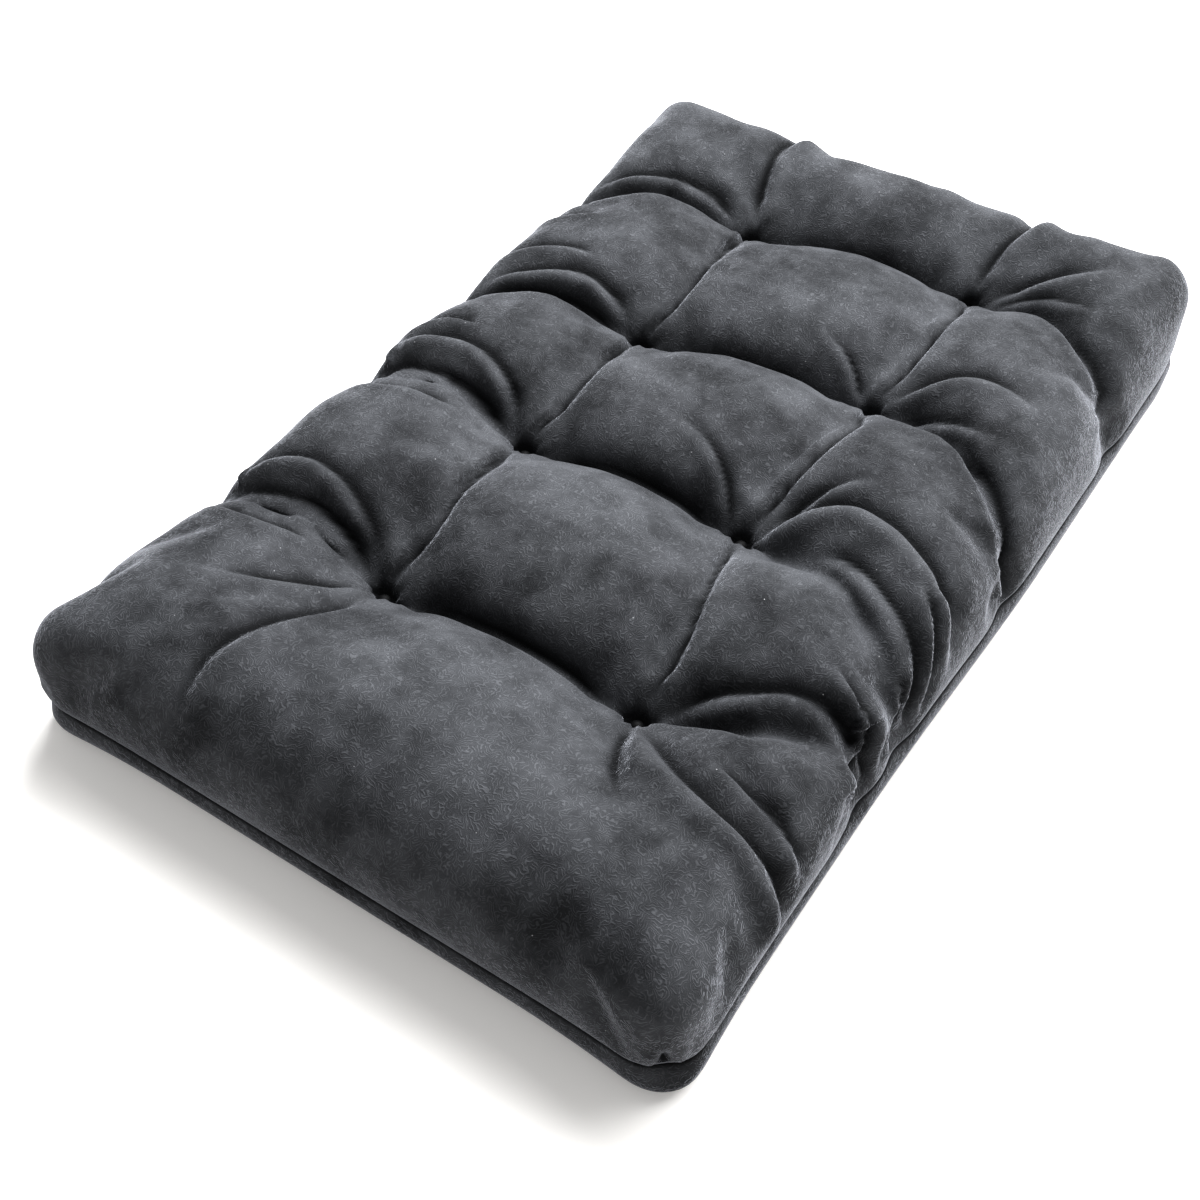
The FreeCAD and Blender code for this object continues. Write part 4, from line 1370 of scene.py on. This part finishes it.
PLUSH = Finish("slate_plush", Weave.PILE, (0.005, 0.0053, 0.0058, 1), (0.098, 0.1015, 0.110, 1), sheen=0.62,
               sheen_roughness=0.25, sheen_tint=(0.88, 0.91, 1.0, 1), specular=0.08, bump=0.40, relief=0.0016)
BATT = Finish("lofted_fibre", Weave.FIBRE, (0.62, 0.61, 0.58, 1), (0.90, 0.89, 0.86, 1), sheen=0.2, bump=0.6,
              relief=0.003, fineness=60.0)
FELT = Finish("needled_felt", Weave.FIBRE, (0.50, 0.49, 0.46, 1), (0.74, 0.73, 0.69, 1), bump=0.5, relief=0.0015,
              fineness=140.0)
THREAD = Finish("sewing_thread", Weave.FIBRE, (0.030, 0.031, 0.034, 1), (0.085, 0.088, 0.095, 1), roughness=0.7,
                bump=0.4, relief=0.0002, fineness=900.0)
TWINE = Finish("waxed_twine", Weave.FIBRE, (0.040, 0.040, 0.041, 1), (0.110, 0.110, 0.112, 1), roughness=0.55,
               specular=0.4, bump=0.5, relief=0.0003, fineness=700.0)
BUTTON = Finish("dark_button", Weave.FIBRE, (0.002, 0.002, 0.0023, 1), (0.006, 0.0062, 0.0068, 1), roughness=0.65,
                specular=0.12, bump=0.1, relief=0.0002, fineness=250.0)


@dataclass
class Stitching:
    """The threads in the turned-in seam: two machine threads, the hand-closed stretch and the corner darts."""

    panels: Panels
    radius: float = 0.0004
    inset: float = 0.004
    stitch: float = 0.007
    sides: int = 6

    def seam_line(self, lift: float) -> np.ndarray:
        """The seam, drawn in to where its threads lie.

        Args:
            lift: how far above the seam the thread lies.

        Returns:
            Points all round the seam.
        """
        ring = self.panels.points[self.panels.rings[self.panels.casing.top_rows]]
        ring = ring - self.panels.casing.outward(ring) * self.inset
        ring[:, 2] += lift
        return ring

    def weave(self, line: np.ndarray, closed: bool, swing: float) -> np.ndarray:
        """Resamples a line finely and swings it up and down once for each stitch.

        Args:
            line: points along the thread.
            closed: whether the last point joins the first.
            swing: how far each stitch rises and falls.

        Returns:
            The thread's centre line.
        """
        line = np.vstack([line, line[:1]]) if closed else line
        marks = np.concatenate([[0.0], np.cumsum(np.linalg.norm(np.diff(line, axis=0), axis=1))])
        stitches = max(1, round(marks[-1] / self.stitch))
        places = np.linspace(0.0, marks[-1], 6 * stitches + 1)
        places = places[:-1] if closed else places
        fine = np.column_stack([np.interp(places, marks, line[:, axis]) for axis in range(3)])
        fine[:, 2] += swing * np.sin(2 * math.pi * stitches * places / marks[-1])
        return fine

    def tube(self, line: np.ndarray, closed: bool, first: int) -> tuple[np.ndarray, list[tuple[int, ...]]]:
        """Skins a centre line with a round thread.

        Args:
            line: the centre line.
            closed: whether it runs round to its start.
            first: the number of the first vertex.

        Returns:
            The points and the faces.
        """
        ahead = np.roll(line, -1, 0) - np.roll(line, 1, 0)
        if not closed:
            ahead[0], ahead[-1] = line[1] - line[0], line[-1] - line[-2]
        ahead /= np.linalg.norm(ahead, axis=1)[:, None]
        across = np.cross(ahead, (0.31, 0.17, 0.93))
        across /= np.linalg.norm(across, axis=1)[:, None]
        over = np.cross(ahead, across)
        turns = np.arange(self.sides) * 2 * math.pi / self.sides
        points = np.vstack([line[i] + self.radius * (math.cos(t) * across[i] + math.sin(t) * over[i])
                            for i in range(len(line)) for t in turns])
        count = len(line)
        faces = []
        for i in range(count if closed else count - 1):
            here, there = first + i * self.sides, first + (i + 1) % count * self.sides
            faces += [(here + k, here + (k + 1) % self.sides, there + (k + 1) % self.sides, there + k)
                      for k in range(self.sides)]
        if not closed:
            last = first + (count - 1) * self.sides
            faces += [tuple(first + k for k in range(self.sides))[::-1], tuple(last + k for k in range(self.sides))]
        return points, faces

    def sew(self, name: str, lines: list[np.ndarray], closed: bool, swing: float, nodes: list[str]) -> None:
        """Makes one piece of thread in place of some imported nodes.

        Args:
            name: the new piece's name.
            lines: points along each thread.
            closed: whether each thread runs round to its start.
            swing: how far each stitch rises and falls.
            nodes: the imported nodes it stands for.
        """
        parts, faces, count = [], [], 0
        for line in lines:
            points, more = self.tube(self.weave(line, closed, swing), closed, count)
            parts.append(points)
            faces += more
            count += len(points)
        piece = new_piece(name, np.vstack(parts), faces)
        close_normals(piece.data)
        dress(piece, bpy.data.materials[THREAD.name])
        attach(piece, "root")
        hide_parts(*nodes)
        LOG.info("%s: %d faces", name, len(faces))

    def dart_line(self, node: str, steps: range) -> np.ndarray:
        """Points down one corner of the casing, next to a packed dart thread.

        Args:
            node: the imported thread.
            steps: rows of the wall to pass, counted down from the seam.

        Returns:
            Points along the dart.
        """
        low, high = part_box(node)
        middle = np.array((low + high) / 2)
        top = self.panels.casing.top_rows
        seam = self.panels.points[self.panels.rings[top]]
        nearest = int(np.argmin(np.linalg.norm(seam[:, :2] - middle[:2], axis=1)))
        picked = [self.panels.points[[self.panels.rings[top + step][nearest]]] for step in steps]
        return np.vstack([point - self.panels.casing.outward(point) * self.inset for point in picked])

    def build(self) -> None:
        """Every thread in the seam."""
        self.sew("seam_needle_thread", [self.seam_line(0.0012)], True, 0.0006, ["perimeter_needle_thread"])
        self.sew("seam_bobbin_thread", [self.seam_line(-0.0012)], True, -0.0006, ["perimeter_bobbin_thread"])
        low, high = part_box("closing_hand_thread")
        line = self.seam_line(0.0)
        inside = (line[:, :2] > np.array(low)[:2] - 0.03) & (line[:, :2] < np.array(high)[:2] + 0.03)
        picked = np.nonzero(inside.all(axis=1))[0]
        self.sew("closing_hand_stitches", [line[picked]], False, 0.0009, ["closing_hand_thread"])
        ends = ["%s_%s" % (row, side) for row in ("foot", "head") for side in ("left", "right")]
        top = ["top_dart_thread_" + end for end in ends]
        base = ["base_dart_thread_" + end for end in ends]
        self.sew("corner_dart_threads", [self.dart_line(node, range(-5, -1)) for node in top], False, 0.0005, top)
        self.sew("underside_dart_threads", [self.dart_line(node, range(1, 4)) for node in base], False, 0.0005, base)


@dataclass
class Studio:
    """A plain pale floor, soft light and the camera."""

    length: float
    lens: float = 46.4
    stand: Point = (0.529, -0.910, 1.013)
    turn: float = -33.74
    tilt: float = 46.74
    table_glow: float = 0.18
    ambient: float = 0.41
    key: float = 335.0
    key_size: float = 4.2
    key_place: Point = (0.5, 2.3, 2.5)
    sweep: float = 110.0
    sweep_size: float = 1.6
    sweep_place: Point = (-0.6, 1.6, 2.4)
    look: str = "Medium High Contrast"

    def floor(self) -> bpy.types.Object:
        """A wide pale floor.

        Returns:
            The floor.
        """
        side = 8.0
        points = np.array([(-side, -side, 0.0), (side, -side, 0.0), (side, side, 0.0), (-side, side, 0.0)])
        piece = new_piece("studio_floor", points, [(0, 1, 2, 3)])
        material = bpy.data.materials.new("pale_floor")
        material.use_nodes = True
        shader = material.node_tree.nodes["Principled BSDF"]
        shader.inputs["Base Color"].default_value = (0.90, 0.885, 0.865, 1.0)
        shader.inputs["Roughness"].default_value = 0.9
        shader.inputs["Specular IOR Level"].default_value = 0.1
        shader.inputs["Emission Color"].default_value = (1.0, 0.985, 0.965, 1.0)
        shader.inputs["Emission Strength"].default_value = self.table_glow
        piece.data.materials.append(material)
        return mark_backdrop(piece)

    def softbox(self, name: str, place: Point, size: float, power: float, tint: tuple) -> None:
        """Hangs a square softbox that faces the mattress.

        Args:
            name: its name.
            place: where it hangs.
            size: how wide it is.
            power: its power in watts.
            tint: its light's colour.
        """
        light = bpy.data.lights.new(name, "AREA")
        light.size = size
        light.energy = power
        light.color = tint
        box = bpy.data.objects.new(name, light)
        box.location = place
        box.rotation_euler = (Vector((0.0, 0.0, 0.1)) - Vector(place)).to_track_quat("-Z", "Y").to_euler()
        bpy.context.scene.collection.objects.link(box)

    def light(self) -> None:
        """Even pale surroundings and softboxes from beyond the head end."""
        world = bpy.data.worlds.new("studio")
        world.use_nodes = True
        world.node_tree.nodes["Background"].inputs[0].default_value = (1.0, 1.0, 1.0, 1.0)
        world.node_tree.nodes["Background"].inputs[1].default_value = self.ambient
        bpy.context.scene.world = world
        self.softbox("key", self.key_place, self.key_size, self.key, (1.0, 1.0, 1.0))
        self.softbox("sweep", self.sweep_place, self.sweep_size, self.sweep, (0.97, 0.985, 1.0))

    def camera(self) -> None:
        """Sets the camera above the foot's right corner."""
        lens = bpy.data.cameras.new("camera")
        lens.lens = self.lens
        lens.sensor_width = 36.0
        lens.clip_start = 0.05
        camera = bpy.data.objects.new("camera", lens)
        turn, tilt = math.radians(self.turn), math.radians(self.tilt)
        look = Vector((math.sin(turn) * math.cos(tilt), math.cos(turn) * math.cos(tilt), -math.sin(tilt)))
        camera.location = Vector(self.stand) * self.length
        camera.rotation_euler = look.to_track_quat("-Z", "Y").to_euler()
        bpy.context.scene.collection.objects.link(camera)
        bpy.context.scene.camera = camera

    def build(self) -> None:
        """Sets up the whole studio."""
        self.floor()
        self.light()
        self.camera()
        bpy.context.scene.view_settings.view_transform = "Standard"
        bpy.context.scene.view_settings.look = self.look


def plain_box() -> list[list[float]]:
    """The box of everything that is shown, as plain numbers."""
    low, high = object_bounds()
    return [[float(v) for v in low], [float(v) for v in high]]


def dress(piece: bpy.types.Object, material: bpy.types.Material) -> None:
    """Gives a piece one material in place of any it has."""
    piece.data.materials.clear()
    piece.data.materials.append(material)


def main() -> None:
    """Builds the mattress and the studio, in order."""
    logging.basicConfig(level=logging.INFO, format="%(name)s: %(message)s")
    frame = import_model()
    cad = plain_box()
    groups = Groups()
    made = {finish.name: finish.make(groups) for finish in (PLUSH, BATT, FELT, THREAD, TWINE, BUTTON)}
    casing = Casing(Tufts())
    points, rings = casing.swell()
    panels = Panels(casing, points, rings)
    for piece, node in ((panels.build_top(), "casing_top_panel"), (panels.build_bottom(), "casing_bottom_panel")):
        dress(piece, made["slate_plush"])
        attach(piece, "root")
        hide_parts(node)
        LOG.info("%s: %d faces", piece.name, len(piece.data.polygons))
    for piece in Filling(panels).build():
        dress(piece, made["needled_felt" if "core" in piece.name else "lofted_fibre"])
        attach(piece, "root")
        LOG.info("%s: %d faces", piece.name, len(piece.data.polygons))
    Stitching(panels).build()
    for name, node in frame["nodes"].items():
        if node.hide_render:
            continue
        kind = "dark_button" if "button" in name else "waxed_twine" if "twine" in name else "sewing_thread"
        dress(node, made[kind])
        LOG.info("%s keeps its shape, in %s", name, kind)
    Studio(cad[1][1] - cad[0][1]).build()


if __name__ == "__main__":
    main()
